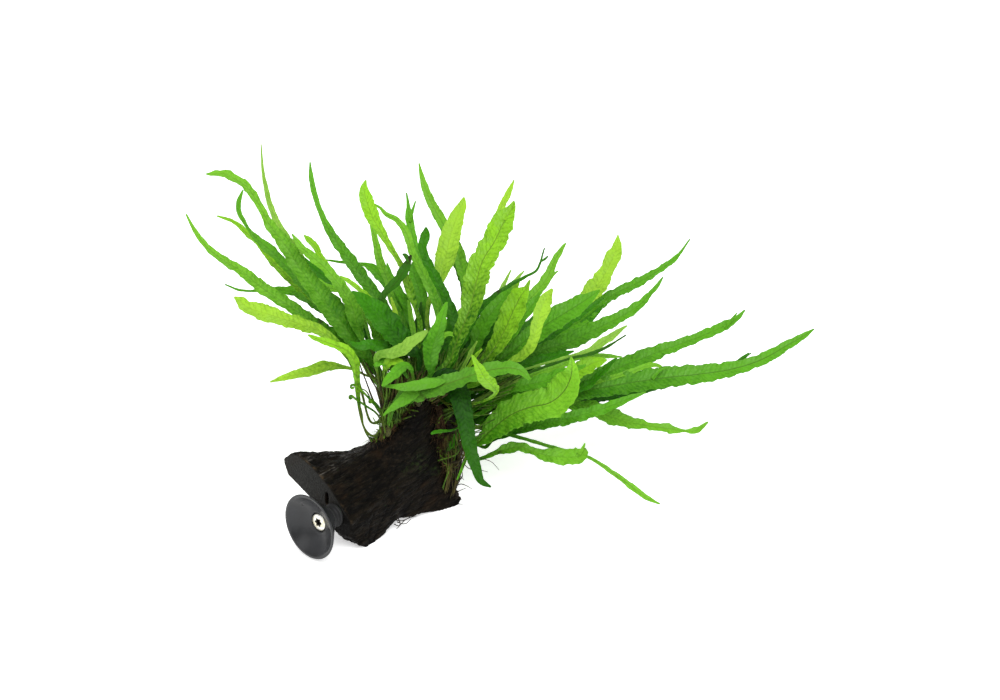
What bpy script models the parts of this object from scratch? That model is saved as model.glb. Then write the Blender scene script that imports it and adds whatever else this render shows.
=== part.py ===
"""Java fern on a block of driftwood, with the suction cup that holds the block to a tank's glass.

Metres, +Z up. The origin is on the wood's flat underside, -X is the way the suction cup faces.
The fronds are drawn where a photograph shows them: each one's route is a short list of picture
points with the blade's width there, and its lean says how fast it comes nearer to the viewer.
"""

import math
from collections import namedtuple

import bmesh
import bpy
import numpy as np
from mathutils import Matrix, Vector, noise
from mathutils.bvhtree import BVHTree

MM = 0.001
CLEARANCE = 0.35 * MM

# The viewer's place, which turns picture points into places round the plant
VIEW_AZIMUTH = math.radians(-48.3)
VIEW_ELEVATION = math.radians(23.3)
VIEW_DISTANCE = 1178 * MM
PIXEL = 0.53 * MM
PICTURE_CENTRE = (500, 350)
VIEW_TARGET = Vector((32.3, -49.8, 96.3)) * MM
VIEW_BACK = Vector((
    math.sin(VIEW_AZIMUTH) * math.cos(VIEW_ELEVATION),
    -math.cos(VIEW_AZIMUTH) * math.cos(VIEW_ELEVATION),
    math.sin(VIEW_ELEVATION),
))
VIEW_RIGHT = Vector((math.cos(VIEW_AZIMUTH), math.sin(VIEW_AZIMUTH), 0))
VIEW_UP = VIEW_BACK.cross(VIEW_RIGHT)

# The wood is measured in millimetres from its front foot corner, which is here
FOOT_CORNER = Vector((-48, -22, 0)) * MM

# Slices across the wood: distance from the foot corner, then y and z round the slice, up the
# front, over the top, down the back and along the underside
WOOD_SLICES = (
    (-7, ((1, 9), (-0.8, 13), (-1, 18), (6, 25), (14, 33), (28, 42), (41, 46), (50.5, 38.5),
          (47.5, 30.5), (30, 22.5), (14, 10), (7, 7))),
    (0, ((-2.5, 0), (-1, 8), (-1, 18), (5, 26), (13, 34), (27, 41.5), (40, 45), (49, 39),
         (43, 29), (30, 16), (17, 3), (6.5, 0))),
    (14, ((-1, 0), (-0.5, 10), (1, 20), (6, 29), (14, 36), (26, 40), (37, 40), (46, 36),
          (45, 25), (38, 12), (30, 0), (15, 0))),
    (30, ((1, 4), (0, 13), (2, 23), (7, 32), (13, 38), (22, 41), (34, 36), (45, 31),
          (49, 20), (46, 10), (42, 0), (13, 0))),
    (46, ((0, 1.5), (1, 15), (3, 28), (6, 41), (10, 51), (17, 53), (30, 38), (43, 29),
          (50, 19), (49, 10), (46, 0), (14, 0))),
    (58, ((-2.5, 0), (1, 16), (4, 32), (6, 48), (8.5, 63), (15, 65), (29, 47), (42, 32),
          (50, 21), (50, 11), (47, 0), (18, 0))),
    (71, ((-6, 0), (1, 14), (5.5, 30), (9, 46), (12, 59), (19, 61), (32, 48), (42, 36),
          (47, 24), (47, 12), (45, 0), (18, 0))),
    (77, ((-2.5, 0), (4, 12), (8, 26), (10.5, 38), (13.5, 51), (21, 56), (31, 46), (38, 36),
          (42, 25), (42, 13), (40, 1), (18, 0.5))),
)
WOOD_STEP = 4.6 * MM
WOOD_POINTS_AROUND = 28
WOOD_FURROW = 1.1 * MM
SAW_CUT_X = -7 * MM
SAW_CRACK = {"y": 17, "z": 26, "width": 2.0, "height": 7, "depth": 7}

# Suction cup, turned about its own axis: how far from the saw cut, and radius, in millimetres
CUP_Y = 10
CUP_Z = 19.5
CUP_SEGMENTS = 40
CUP_PROFILE = ((0.35, 5.6), (1.4, 6.4), (2.6, 6.4), (3.4, 5.3), (5.2, 5.3), (6.0, 6.8), (8.0, 7.4),
               (10.4, 9.6), (13.6, 12.6), (17.4, 16.2), (19.4, 18.0), (20.0, 18.0), (20.0, 16.6),
               (17.0, 13.4), (14.6, 9.8), (13.3, 6.2), (12.9, 5.4), (11.9, 5.4), (9.6, 2.5),
               (0.35, 2.5))
SCREW_PROFILE = ((-13.0, 0.0), (-12.0, 1.6), (9.4, 1.75), (9.7, 2.1), (12.2, 4.8), (12.9, 4.8),
                 (13.2, 4.2), (13.2, 2.3), (11.6, 2.0), (11.6, 0.0))
SCREW_SEGMENTS = 20
PILOT_HOLE_RADIUS = 2.1
PILOT_HOLE_DEPTH = 14

# Creeping stems, laid on the wood below these points, in millimetres from the foot corner
RHIZOMES = {
    "left": ((37, 14, 47.5), (43, 20, 50.5), (49, 25.5, 48.5), (55, 31, 44.5), (61, 37, 39),
             (65, 43, 33)),
    "top": ((52, 7, 64), (56, 12, 68), (60, 19, 64), (64, 27, 54), (68, 34, 47), (71, 41, 40)),
    "crown": ((70, 12.5, 64), (76, 17, 62), (79, 24, 57), (80, 31, 48), (79, 38, 38)),
    "right": ((83, 14, 16), (83, 15, 28), (83, 19, 39), (83, 25, 44), (83, 31, 38), (82, 36, 28)),
}
RHIZOME_RADIUS = 2.1 * MM
RHIZOME_SIDES = 8

# Mats of clinging roots: the middle line, laid on the wood, and the half width
ROOT_MATS = {
    "left": (((34, 21, 42), (39, 27, 41), (44, 33, 38), (50, 39, 34)), 2.8 * MM),
    "right": (((76, 1, 6), (76.5, 2.5, 17), (76.5, 5.5, 29), (76, 9, 41), (75, 12, 50)), 5.0 * MM),
}
ROOT_MAT_THICKNESS = 2.2 * MM
ROOT_MAT_GAP = 0.8 * MM

# Fronds. A route goes from near the base to the tip: picture x, picture y, blade width there,
# all in pixels. Lean is how far it nears the viewer for each unit of its length in the picture.
Frond = namedtuple("Frond", "name lean route")
FRONDS = {
    "left": (
        Frond("left_front_long", 0.32, ((392, 409, 6), (400, 401, 13), (411, 394, 19), (426, 389, 20),
              (443, 385, 18), (460, 379, 15), (478, 373, 14), (495, 369, 14), (510, 368, 12),
              (521, 371, 9), (530, 380, 2))),
        Frond("left_arch", 0.22, ((374, 436, 2), (366, 431, 2), (361, 418, 2), (358.5, 400, 3.5),
              (356.5, 374, 6.5), (354, 360, 8.5), (346, 350, 8.5), (332, 344, 7), (317, 339, 5),
              (308, 335, 1))),
        Frond("left_yellow_broad", 0.2, ((370, 421, 2), (361, 390, 2.5), (350, 361, 4), (336, 343, 7),
              (320, 331, 10), (300, 324, 13), (280, 318, 14), (265, 313, 17), (249, 308, 12.5),
              (241, 302, 9.5), (234, 297, 1))),
        Frond("left_pale_finger", 0.37, ((378, 376, 2), (376, 364, 4), (378, 356, 7), (385, 353.5, 8),
              (393, 353, 11), (401, 350, 12.5), (412, 342, 11), (421, 336, 8), (428, 331, 2))),
        Frond("left_droop", 0.05, ((379, 383, 2), (365, 375, 2), (352, 369, 2.5), (341, 367, 4.5),
              (330, 366, 9.5), (320, 368, 12), (308, 372, 10), (290, 376, 7.5), (270, 382, 1))),
        Frond("left_curled_tip", -0.05, ((380, 374, 3), (366, 356, 10), (354, 339, 17), (342, 322, 22),
              (331, 308, 23), (321, 296, 20), (311, 283, 17), (298.5, 266, 17), (288, 249, 15),
              (277.5, 235, 12), (269, 224, 9.5), (262, 210, 6.5), (253.5, 196, 8), (246, 186, 8),
              (232, 177, 8), (222, 173.5, 8), (206, 174, 1))),
        Frond("left_low_long", -0.12, ((383, 384, 4), (366, 363, 7), (343, 341, 11), (313, 322, 11.5),
              (285, 303, 12), (261, 287, 12.5), (243, 272, 10), (224, 260.5, 8), (208, 248, 6),
              (195, 231, 4), (186, 214, 1))),
        Frond("left_hooked", -0.2, ((376, 366, 4), (350, 338, 7), (325, 309, 9), (300, 281, 10),
              (281, 261, 9), (271.5, 251.3, 10), (264, 245, 9.5), (255, 237, 6), (248.5, 229, 3),
              (243, 220, 4), (238.5, 210, 5), (239.5, 199, 4.5), (243, 190, 1))),
        Frond("left_yellow_thin", -0.27, ((372, 362, 3), (345, 328, 6), (312, 297, 8), (296, 285, 8),
              (283, 272, 8), (272, 261, 7), (265, 252, 6), (257, 242, 5), (250.5, 236, 6.5),
              (244.5, 231, 6), (239, 225.5, 4), (230, 220, 3.5), (217, 216, 1))),
        Frond("left_straight", -0.35, ((374, 362, 3), (345, 328, 9), (318, 304.5, 13), (297, 292.5, 11),
              (280, 290, 7), (262, 290, 4), (251, 291, 2), (239, 290, 2), (225, 284.5, 0.8))),
        Frond("left_tall", -0.52, ((378, 368, 3), (362, 344, 5), (345, 322, 8), (325, 297, 9),
              (305, 267, 10), (293, 248, 10), (286, 238, 9), (279, 226, 7), (275, 218, 6.5),
              (272, 210, 6), (268.5, 200, 5.5), (266.5, 190, 5), (263, 172, 3), (261, 144, 0.8))),
    ),
    "top": (
        Frond("top_hanging", 0.25, ((430, 381, 3), (441, 374, 9), (450, 377, 19), (457, 389, 21),
              (462, 405, 19), (466, 425, 16), (470, 447, 13.5), (476, 468, 10), (481, 481, 6.5),
              (491, 487, 1))),
        Frond("top_short_low", 0.62, ((412, 372, 3), (408, 366, 6), (402, 367, 10), (394, 374, 10),
              (387, 381, 7), (382, 386, 1))),
        Frond("top_short_bright", 0.55, ((430, 376, 4), (431, 366, 11), (431, 356, 15), (433, 345, 18),
              (437, 333, 14), (441, 320, 10), (444, 310, 6), (447, 302, 1))),
        Frond("top_big_blistered", 0.28, ((446, 366, 7), (455, 346, 11), (463, 326, 15),
              (470.5, 306, 20), (475.5, 284, 24), (482, 262, 24), (494, 242, 23.5), (503, 223, 23),
              (511.5, 209, 9.5), (514, 201, 1))),
        Frond("top_dark_broad", 0.16, ((420, 358, 6), (408, 348, 16), (400, 338, 22), (390, 327, 24),
              (380, 316, 24), (370, 306, 18), (360, 297, 9), (352, 291, 1))),
        Frond("top_dark_crossing", 0.1, ((405, 355, 3), (388, 326, 4), (381, 305, 6), (386, 292, 7),
              (397, 281, 9.5), (406, 267, 9), (411, 255, 1.5))),
        Frond("top_yellow_spoon", 0.05, ((420, 332, 5), (416, 310, 4), (413, 300, 7), (409, 288, 9),
              (405, 276, 7), (401, 265, 5), (390, 247, 6), (380, 230, 9), (372.5, 217, 13.5),
              (368, 205, 14), (365, 195, 12), (364, 187, 7), (366, 180, 1))),
        Frond("top_low_left", -0.05, ((402, 356, 4), (378, 350, 3), (364, 342, 3), (360, 333, 8),
              (356, 320, 15), (352, 307, 15), (347, 296, 12.5), (338, 283, 11), (328, 271, 9),
              (316, 260, 9), (303, 249, 7), (296, 240, 4), (292, 234, 1))),
        Frond("top_thin_arch", 0.0, ((442, 330, 6), (440, 318, 8), (436, 302, 9), (428, 284, 9),
              (420, 268, 8), (412, 252, 7), (407, 234.5, 7.5), (397.5, 220.5, 5.5), (387, 215, 4.5),
              (379, 207, 2), (366, 201, 0.8))),
        Frond("top_dark_wavy", -0.1, ((464, 345, 8), (460, 335, 8), (454, 318, 11), (445, 296, 9),
              (435, 277, 9.5), (426.5, 260, 8), (422.5, 247, 8.5), (425.5, 235, 9.5), (426, 227, 1))),
        Frond("top_long_dark", -0.2, ((415, 357, 7), (400, 335, 11), (380, 304, 14), (368, 286, 12.5),
              (356, 269, 13), (344, 252, 11), (332, 235, 9), (325, 222, 6.5), (319, 208, 5),
              (314, 192, 5.5), (311, 176, 4.5), (310, 162, 0.8))),
        Frond("top_hidden_green", -0.32, ((405, 330, 6), (392, 300, 7), (387, 279, 7), (380, 262, 8.5),
              (376, 243, 6.5), (372, 226, 4), (370, 214, 1))),
        Frond("top_dark_spike", -0.3, ((460, 335, 8), (448, 312, 9), (436, 289, 9), (425, 268, 8),
              (417, 250, 7), (412, 234, 8), (409, 216, 8), (408.3, 206, 3.5), (406.5, 192.5, 1))),
        Frond("top_paddle", -0.36, ((428, 345, 4), (427, 322, 4), (429, 302, 5), (434, 291, 6),
              (440, 280, 9), (443.5, 265, 19), (446.8, 252, 22), (451.5, 232, 20.5), (458, 214, 14),
              (462.5, 204, 8.5), (464, 197, 1))),
        Frond("top_grey_broad", -0.4, ((430, 345, 5), (427, 326, 6), (424, 312, 9), (421.5, 300, 13),
              (418, 286, 15), (414, 274, 11), (413, 262, 2))),
        Frond("top_narrow", -0.45, ((418, 350, 5), (413, 333, 4), (411, 324, 5), (409, 316, 8),
              (406, 304, 9), (399, 292, 9), (391, 279, 8), (387, 263, 1))),
        Frond("top_tall_middle", -0.53, ((463, 330, 8), (465.5, 302, 10), (466, 285, 12),
              (461.5, 268, 15), (457.5, 252, 13.5), (450, 236, 12), (440.5, 219.5, 11.5),
              (431.5, 203, 9.5), (425.5, 189, 8), (421, 173, 4), (419, 163, 0.8))),
        Frond("top_thin_tail", -0.62, ((407, 330, 7), (394, 298, 9), (387, 285, 9), (380, 276, 11),
              (372, 268, 9.5), (362, 264, 3), (345, 262.5, 3), (326, 260, 1))),
        Frond("top_behind_big", -0.65, ((462, 322, 7), (470, 288, 8), (480, 255, 9), (495, 222, 7),
              (502.5, 205, 7), (508.5, 193, 6.5), (514, 180, 1))),
    ),
    "crown": (
        Frond("crown_small_bright", 1.2, ((446, 403, 2), (466, 405, 2), (486, 400, 2), (496, 392, 4),
              (491, 385, 12), (484, 377, 12), (480, 369, 9), (476, 362, 5), (472, 355, 1))),
        Frond("crown_folded_bright", 0.5, ((474, 385, 4), (494, 371, 4), (511, 362, 6), (524, 354, 9),
              (532, 344, 10), (536, 329, 11), (541, 311, 14.5), (546, 299, 12.5), (552.5, 289, 2))),
        Frond("crown_wide_bright", 0.3, ((466, 384, 6), (480, 368, 9), (491, 353, 13), (498, 342, 17),
              (504, 331, 21), (509, 320, 23), (514, 309, 23), (520, 297, 20), (526, 289, 7),
              (530, 280, 1))),
        Frond("crown_grey_green", 0.08, ((464, 366, 9), (474, 345, 14), (481, 330, 16),
              (488.5, 317, 16), (497, 305, 13), (504, 297, 9), (512, 288, 1))),
        Frond("crown_broad", -0.02, ((464, 388, 6), (478, 376, 8), (492, 366, 11), (511, 352, 15),
              (530, 337, 20), (549, 322.5, 23), (568, 311, 21), (584, 301, 15), (600, 290, 1))),
        Frond("crown_forked", -0.07, ((458, 358, 7), (466, 335, 9), (474, 316, 10), (486, 303, 7),
              (498, 293.5, 5), (512, 284, 4), (525, 277, 2.5), (537.5, 269, 2), (544.5, 248, 1))),
        Frond("crown_long_upper", -0.25, ((478, 378, 7), (502, 364, 9), (530, 354, 12), (552, 347, 14),
              (572, 340.5, 18), (594, 329.7, 16.5), (619, 317.5, 12), (638, 306, 9.5), (648, 296, 5.5),
              (657, 286, 4), (663, 277, 0.8))),
        Frond("crown_sharp", -0.38, ((475, 356, 8), (492, 337, 9), (509, 319, 10), (524, 305, 11),
              (537, 291, 11), (547, 278, 10.5), (554, 262, 7), (561, 250, 5), (566, 243, 0.8))),
        Frond("crown_bright_paddle", -0.48, ((482, 372, 6), (505, 357, 7), (525, 344, 8), (547, 329, 8),
              (568, 314, 9), (584, 300, 14), (593.5, 290, 21), (601, 280.5, 19.5), (607.5, 269, 14.5),
              (612.5, 258, 17), (617, 247, 11), (618, 235, 1))),
        Frond("crown_long_top", -0.6, ((478, 378, 6), (505, 363, 7), (545, 341, 8), (575, 323, 12),
              (591, 310.5, 14), (605, 299.5, 12), (617, 292.5, 10.5), (637, 283, 10.5), (656, 272, 7),
              (672, 261, 6), (680, 253, 3), (690, 239, 0.8))),
    ),
    "right": (
        Frond("right_torn", 0.28, ((470, 456, 2), (480, 459, 3), (490, 455, 4), (500, 451, 6.5),
              (510, 448, 10.5), (521, 447, 9.5), (532, 451, 7), (542, 454, 11), (553, 456, 14.5),
              (567, 457, 16), (580, 456, 14), (587, 450, 5))),
        Frond("right_big_bright", 0.42, ((470, 446, 2.5), (479, 442, 8), (488, 433, 18), (498, 424, 25),
              (511, 414.5, 30), (530, 407, 31), (549, 403, 31), (562, 393, 32), (570, 379, 23),
              (572, 367, 10), (571, 357, 1))),
        Frond("right_trailing", 0.1, ((478, 428, 2), (495, 430, 2.5), (512, 435.5, 3), (530, 440.5, 3),
              (550, 446.5, 3), (571, 452, 2.5), (590, 458, 2.5), (606, 468, 4), (623, 480, 5),
              (636, 490, 6), (649, 499, 4), (660, 504, 1))),
        Frond("right_wavy", 0.22, ((482, 404, 4), (500, 392, 7), (520, 386, 11), (540, 382, 13),
              (558, 376, 13), (573, 370, 7), (586, 365, 1))),
        Frond("right_pale_tip", -0.07, ((485, 412, 4), (515, 399, 7), (545, 388, 10), (565, 379, 13),
              (580, 370, 16), (591, 364, 15), (600, 361, 9), (607, 360, 1))),
        Frond("right_low_plain", -0.1, ((480, 446, 3), (492, 440, 4), (506, 434, 7), (525, 428, 9),
              (545, 423, 12), (565, 419, 13), (585, 414, 12), (605, 408, 10), (625, 400, 7),
              (646, 392, 1))),
        Frond("right_longest", -0.18, ((486, 422, 6), (512, 411, 9), (545, 400, 13), (582, 391, 18),
              (610, 386, 21), (640, 381, 22), (670, 377, 21.5), (700, 374, 19.5), (727, 370, 16),
              (750, 364, 12.5), (769, 356, 12), (786, 346, 9.5), (802, 337, 6.5), (814, 329, 1))),
        Frond("right_twisted", -0.26, ((484, 428, 4), (510, 420, 6), (540, 411, 7), (568, 405, 9),
              (590, 407, 13), (607, 415, 17), (628, 422, 13), (650, 426, 7.5), (671, 429, 9),
              (684, 431, 2.5), (697, 430, 6.5), (708, 422, 1))),
        Frond("right_under_longest", -0.32, ((484, 418, 4), (515, 410, 6), (550, 405, 7), (588, 400, 9),
              (615, 395, 10), (640, 390, 9), (662, 385, 8), (700, 376, 8), (722, 369, 7), (738, 362, 3),
              (751, 353, 0.8))),
        Frond("right_upper_long", -0.42, ((480, 408, 6), (510, 398, 8), (545, 390, 10), (572, 385, 14),
              (597, 377, 17), (620, 367, 16), (641, 359, 18), (660, 351, 14.5), (680, 344, 11.5),
              (701, 336, 10), (720, 328, 10.5), (736, 319, 6), (745, 310, 1))),
    ),
}
FRONDS_STATIONS = 12
STALK_WIDTH = 2.4
BLADE_THICKNESS = 0.8 * MM
STALK_THICKNESS = 1.3 * MM
NATURAL_TURN = 0.45

FIDDLEHEAD_ROUTE = ((381, 414), (372, 402), (362, 391), (355, 384), (350, 384), (348, 388), (351, 391))
FIDDLEHEAD_LEAN = 0.35
FIDDLEHEAD_RADIUS = 0.75 * MM


def from_corner(x, y, z):
    """A place given in millimetres from the wood's front foot corner."""
    return FOOT_CORNER + Vector((x, y, z)) * MM


def in_picture(x, y, depth):
    """The place behind a picture point, depth metres nearer to the viewer than the target."""
    shrink = (VIEW_DISTANCE - depth) / VIEW_DISTANCE
    across = (x - PICTURE_CENTRE[0]) * PIXEL * shrink
    above = (PICTURE_CENTRE[1] - y) * PIXEL * shrink
    return VIEW_TARGET + VIEW_RIGHT * across + VIEW_UP * above + VIEW_BACK * depth


def depth_of(place):
    return (place - VIEW_TARGET).dot(VIEW_BACK)


def smooth_route(points, count, finer=12):
    """count points, evenly spaced, along a smooth curve through the given points."""
    points = np.array(points, float)
    padded = np.vstack((2 * points[0] - points[1], points, 2 * points[-1] - points[-2]))
    curve = []
    for i in range(1, len(padded) - 2):
        p0, p1, p2, p3 = padded[i - 1:i + 3]
        for t in np.arange(finer) / finer:
            curve.append(0.5 * (2 * p1 + (p2 - p0) * t + (2 * p0 - 5 * p1 + 4 * p2 - p3) * t ** 2
                                + (3 * p1 - p0 - 3 * p2 + p3) * t ** 3))
    curve = np.array(curve + [points[-1]])
    along = np.concatenate(([0], np.cumsum(np.linalg.norm(np.diff(curve[:, :3], axis=0), axis=1))))
    wanted = np.linspace(0, along[-1], count)
    return np.column_stack([np.interp(wanted, along, column) for column in curve.T])


def paint(name, colour, roughness, metallic=0.0):
    """A plain material, made once."""
    if name in bpy.data.materials:
        return bpy.data.materials[name]
    material = bpy.data.materials.new(name)
    material.use_nodes = True
    shader = material.node_tree.nodes["Principled BSDF"]
    shader.inputs["Base Color"].default_value = (*colour, 1)
    shader.inputs["Roughness"].default_value = roughness
    shader.inputs["Metallic"].default_value = metallic
    return material


def add_object(name, vertices, faces, material, smooth=True):
    mesh = bpy.data.meshes.new(name)
    mesh.from_pydata([tuple(v) for v in vertices], [], faces)
    mesh.validate()
    shape = bmesh.new()
    shape.from_mesh(mesh)
    bmesh.ops.recalc_face_normals(shape, faces=shape.faces)
    shape.to_mesh(mesh)
    shape.free()
    mesh.materials.append(material)
    if smooth:
        mesh.shade_smooth()
        mesh.set_sharp_from_angle(angle=math.radians(40))
    made = bpy.data.objects.new(name, mesh)
    bpy.context.scene.collection.objects.link(made)
    return made


def tube_faces(rings, sides):
    """Faces of a tube of rings, with both ends closed by one polygon."""
    faces = []
    for i in range(rings - 1):
        for j in range(sides):
            k = (j + 1) % sides
            faces.append((i * sides + j, i * sides + k, (i + 1) * sides + k, (i + 1) * sides + j))
    faces.append(tuple(range(sides)))
    faces.append(tuple((rings - 1) * sides + j for j in reversed(range(sides))))
    return faces


def closed_loop(points, count):
    """count evenly spaced points round a closed outline, which keeps its corners softly."""
    points = np.array(points, float)
    steps = np.linalg.norm(np.roll(points, -1, axis=0) - points, axis=1)
    along = np.concatenate(([0], np.cumsum(steps)))
    ring = np.vstack((points, points[:1]))
    wanted = np.linspace(0, along[-1], count, endpoint=False)
    return np.column_stack([np.interp(wanted, along, column) for column in ring.T])


def wood_slice(x):
    """The outline, in millimetres, of the slice at x, between the drawn slices."""
    places = [s[0] for s in WOOD_SLICES]
    outlines = np.array([s[1] for s in WOOD_SLICES], float)
    rows = outlines.reshape(len(places), -1)
    at_x = [np.interp(x, places, column) for column in rows.T]
    return np.array(at_x).reshape(-1, 2)


def make_driftwood():
    """The block: slices joined, furrowed along the grain except on the saw cut and underside."""
    first, last = WOOD_SLICES[0][0], WOOD_SLICES[-1][0]
    count = round((last - first) * MM / WOOD_STEP) + 1
    vertices = []
    for i, x in enumerate(np.linspace(first, last, count)):
        outline = closed_loop(wood_slice(x), WOOD_POINTS_AROUND)
        middle = outline.mean(axis=0)
        for y, z in outline:
            place = from_corner(x, y, z)
            outwards = Vector((0, y - middle[0], z - middle[1])).normalized()
            rough = noise.noise(Vector((x / 34, y / 5.0, z / 5.0)))
            rough += 0.5 * noise.noise(Vector((x / 12, y / 2.6, z / 2.6)))
            free = min(1.0, z / 5) * (0.25 if i == 0 else 1.0)
            place += outwards * (rough - 0.35) * WOOD_FURROW * free
            vertices.append(place)
    faces = tube_faces(count, WOOD_POINTS_AROUND)
    wood = add_object("driftwood", vertices, faces, paint("wood", (0.016, 0.011, 0.009), 0.85))
    drill_for_screw(wood)
    return wood


def add_cutter(name, shape):
    mesh = bpy.data.meshes.new(name)
    shape.to_mesh(mesh)
    shape.free()
    cutter = bpy.data.objects.new(name, mesh)
    cutter.hide_render = True
    cutter.display_type = "WIRE"
    bpy.context.scene.collection.objects.link(cutter)
    return cutter


def cut(wood, cutter):
    difference = wood.modifiers.new(cutter.name, "BOOLEAN")
    difference.operation = "DIFFERENCE"
    difference.object = cutter


def drill_for_screw(wood):
    """The pilot hole for the screw, and the narrow crack beside the suction cup."""
    hole = bmesh.new()
    bmesh.ops.create_cone(hole, cap_ends=True, segments=16, radius1=PILOT_HOLE_RADIUS * MM,
                          radius2=PILOT_HOLE_RADIUS * MM, depth=2 * PILOT_HOLE_DEPTH * MM)
    hole.transform(Matrix.Rotation(math.pi / 2, 4, "Y"))
    hole.transform(Matrix.Translation(from_corner(SAW_CUT_X / MM, CUP_Y, CUP_Z)))
    cut(wood, add_cutter("pilot_hole", hole))
    crack = bmesh.new()
    bmesh.ops.create_cube(crack, size=1)
    crack.transform(Matrix.Diagonal((
        2 * SAW_CRACK["depth"] * MM, SAW_CRACK["width"] * MM, SAW_CRACK["height"] * MM, 1)))
    crack.transform(Matrix.Translation(
        from_corner(SAW_CUT_X / MM, SAW_CRACK["y"], SAW_CRACK["z"])))
    cut(wood, add_cutter("saw_crack", crack))


def turned(name, profile, segments, material):
    """A solid turned about the suction cup's axis from (distance before the saw cut, radius)."""
    shape = bmesh.new()
    rings = []
    for before, radius in profile:
        count = segments if radius > 0 else 1
        ring = []
        for j in range(count):
            angle = 2 * math.pi * j / segments - math.pi / 2
            y = CUP_Y + radius * math.cos(angle)
            z = CUP_Z + radius * math.sin(angle)
            ring.append(shape.verts.new(from_corner(SAW_CUT_X / MM - before, y, z)))
        rings.append(ring)
    closed = profile[0][1] > 0
    pairs = list(zip(rings, rings[1:]))
    if closed:
        pairs.append((rings[-1], rings[0]))
    for near, far in pairs:
        for j in range(segments):
            k = (j + 1) % segments
            corners = (near[j % len(near)], near[k % len(near)], far[k % len(far)], far[j % len(far)])
            shape.faces.new(list(dict.fromkeys(corners)))
    bmesh.ops.recalc_face_normals(shape, faces=shape.faces)
    mesh = bpy.data.meshes.new(name)
    shape.to_mesh(mesh)
    shape.free()
    mesh.materials.append(material)
    mesh.shade_smooth()
    mesh.set_sharp_from_angle(angle=math.radians(35))
    made = bpy.data.objects.new(name, mesh)
    bpy.context.scene.collection.objects.link(made)
    return made


def make_suction_cup():
    turned("suction_cup", CUP_PROFILE, CUP_SEGMENTS, paint("rubber", (0.03, 0.03, 0.035), 0.45))


def make_screw():
    turned("screw", SCREW_PROFILE, SCREW_SEGMENTS, paint("steel", (0.72, 0.7, 0.6), 0.3, 1.0))


def surface_of(wood):
    """A search tree over the finished wood, for laying stems and roots on it."""
    depsgraph = bpy.context.evaluated_depsgraph_get()
    return BVHTree.FromObject(wood, depsgraph)


def laid_on(surface, place, height):
    """The place above the nearest point of the wood, and the wood's direction there."""
    foot, normal, _, _ = surface.find_nearest(place)
    return foot + normal * height, normal


def rhizome_line(surface, name, count=40):
    """The middle of a creeping stem, as places on the wood and the wood's directions there."""
    drawn = [from_corner(*point) for point in RHIZOMES[name]]
    height = RHIZOME_RADIUS + 2 * CLEARANCE
    rough = [laid_on(surface, Vector(p), height) for p in smooth_route(drawn, 12)]
    line = smooth_route([p for p, _ in rough], count)
    directions = smooth_route([n for _, n in rough], count)
    return [(Vector(p), Vector(n).normalized()) for p, n in zip(line, directions)]


def make_rhizome(surface, name):
    """A knobbly stem, clear of the wood all along."""
    line = rhizome_line(surface, name)[::3]
    vertices = []
    for i, (middle, up) in enumerate(line):
        ahead = line[min(i + 1, len(line) - 1)][0] - line[max(i - 1, 0)][0]
        side = ahead.cross(up).normalized()
        above = side.cross(ahead).normalized()
        end = min(i, len(line) - 1 - i)
        radius = RHIZOME_RADIUS * (0.5 if end == 0 else 0.93 + 0.07 * (-1) ** i)
        for j in range(RHIZOME_SIDES):
            angle = 2 * math.pi * j / RHIZOME_SIDES
            vertices.append(middle + (side * math.cos(angle) + above * math.sin(angle)) * radius)
    add_object("rhizome_" + name, vertices, tube_faces(len(line), RHIZOME_SIDES),
               paint("rhizome", (0.09, 0.1, 0.03), 0.7))


def make_root_mat(surface, name):
    """A thin lumpy mat that follows the wood."""
    drawn, half_width = ROOT_MATS[name]
    line = smooth_route([from_corner(*point) for point in drawn], 12)
    vertices = []
    for i, place in enumerate(line):
        ahead = Vector(line[min(i + 1, len(line) - 1)] - line[max(i - 1, 0)])
        _, up = laid_on(surface, Vector(place), 0)
        side = ahead.cross(up).normalized()
        taper = 0.45 if i in (0, len(line) - 1) else 1.0
        lower, upper = [], []
        for share in (-1, -0.6, -0.2, 0.2, 0.6, 1):
            across = Vector(place) + side * half_width * share * taper
            bump = 0.8 + 0.4 * noise.noise(across / (6 * MM))
            height = ROOT_MAT_THICKNESS * bump * (1 - 0.75 * share ** 2) * taper
            bottom, normal = laid_on(surface, across, ROOT_MAT_GAP)
            lower.append(bottom)
            upper.append(bottom + normal * max(height, 0.4 * MM))
        vertices += lower + upper[::-1]
    add_object("roots_" + name, vertices, tube_faces(len(line), 12),
               paint("roots", (0.12, 0.05, 0.02), 0.9))


def frond_line(base, frond, count):
    """Places along a frond from base to tip, with the blade's width there in pixels."""
    depth = depth_of(base)
    points = [(*base, STALK_WIDTH)]
    last = None
    for x, y, width in frond.route:
        if last is None:
            first = in_picture(x, y, depth)
            depth += frond.lean * (first - base).length
        else:
            depth += frond.lean * math.hypot(x - last[0], y - last[1]) * PIXEL
        last = (x, y)
        points.append((*in_picture(x, y, depth), width))
    return smooth_route(points, count)


def blade_frame(ahead):
    """The width's direction and the upper side's, for a blade that runs ahead."""
    facing = ahead.cross(VIEW_BACK).normalized()
    level = ahead.cross(Vector((0, 0, 1))).normalized()
    if facing.dot(level) < 0:
        level = -level
    side = (facing * (1 - NATURAL_TURN) + level * NATURAL_TURN).normalized()
    upper = side.cross(ahead).normalized()
    if upper.z < 0:
        side, upper = -side, -upper
    return side, upper, min(1.0, max(0.7, abs(side.dot(facing))))


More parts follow.
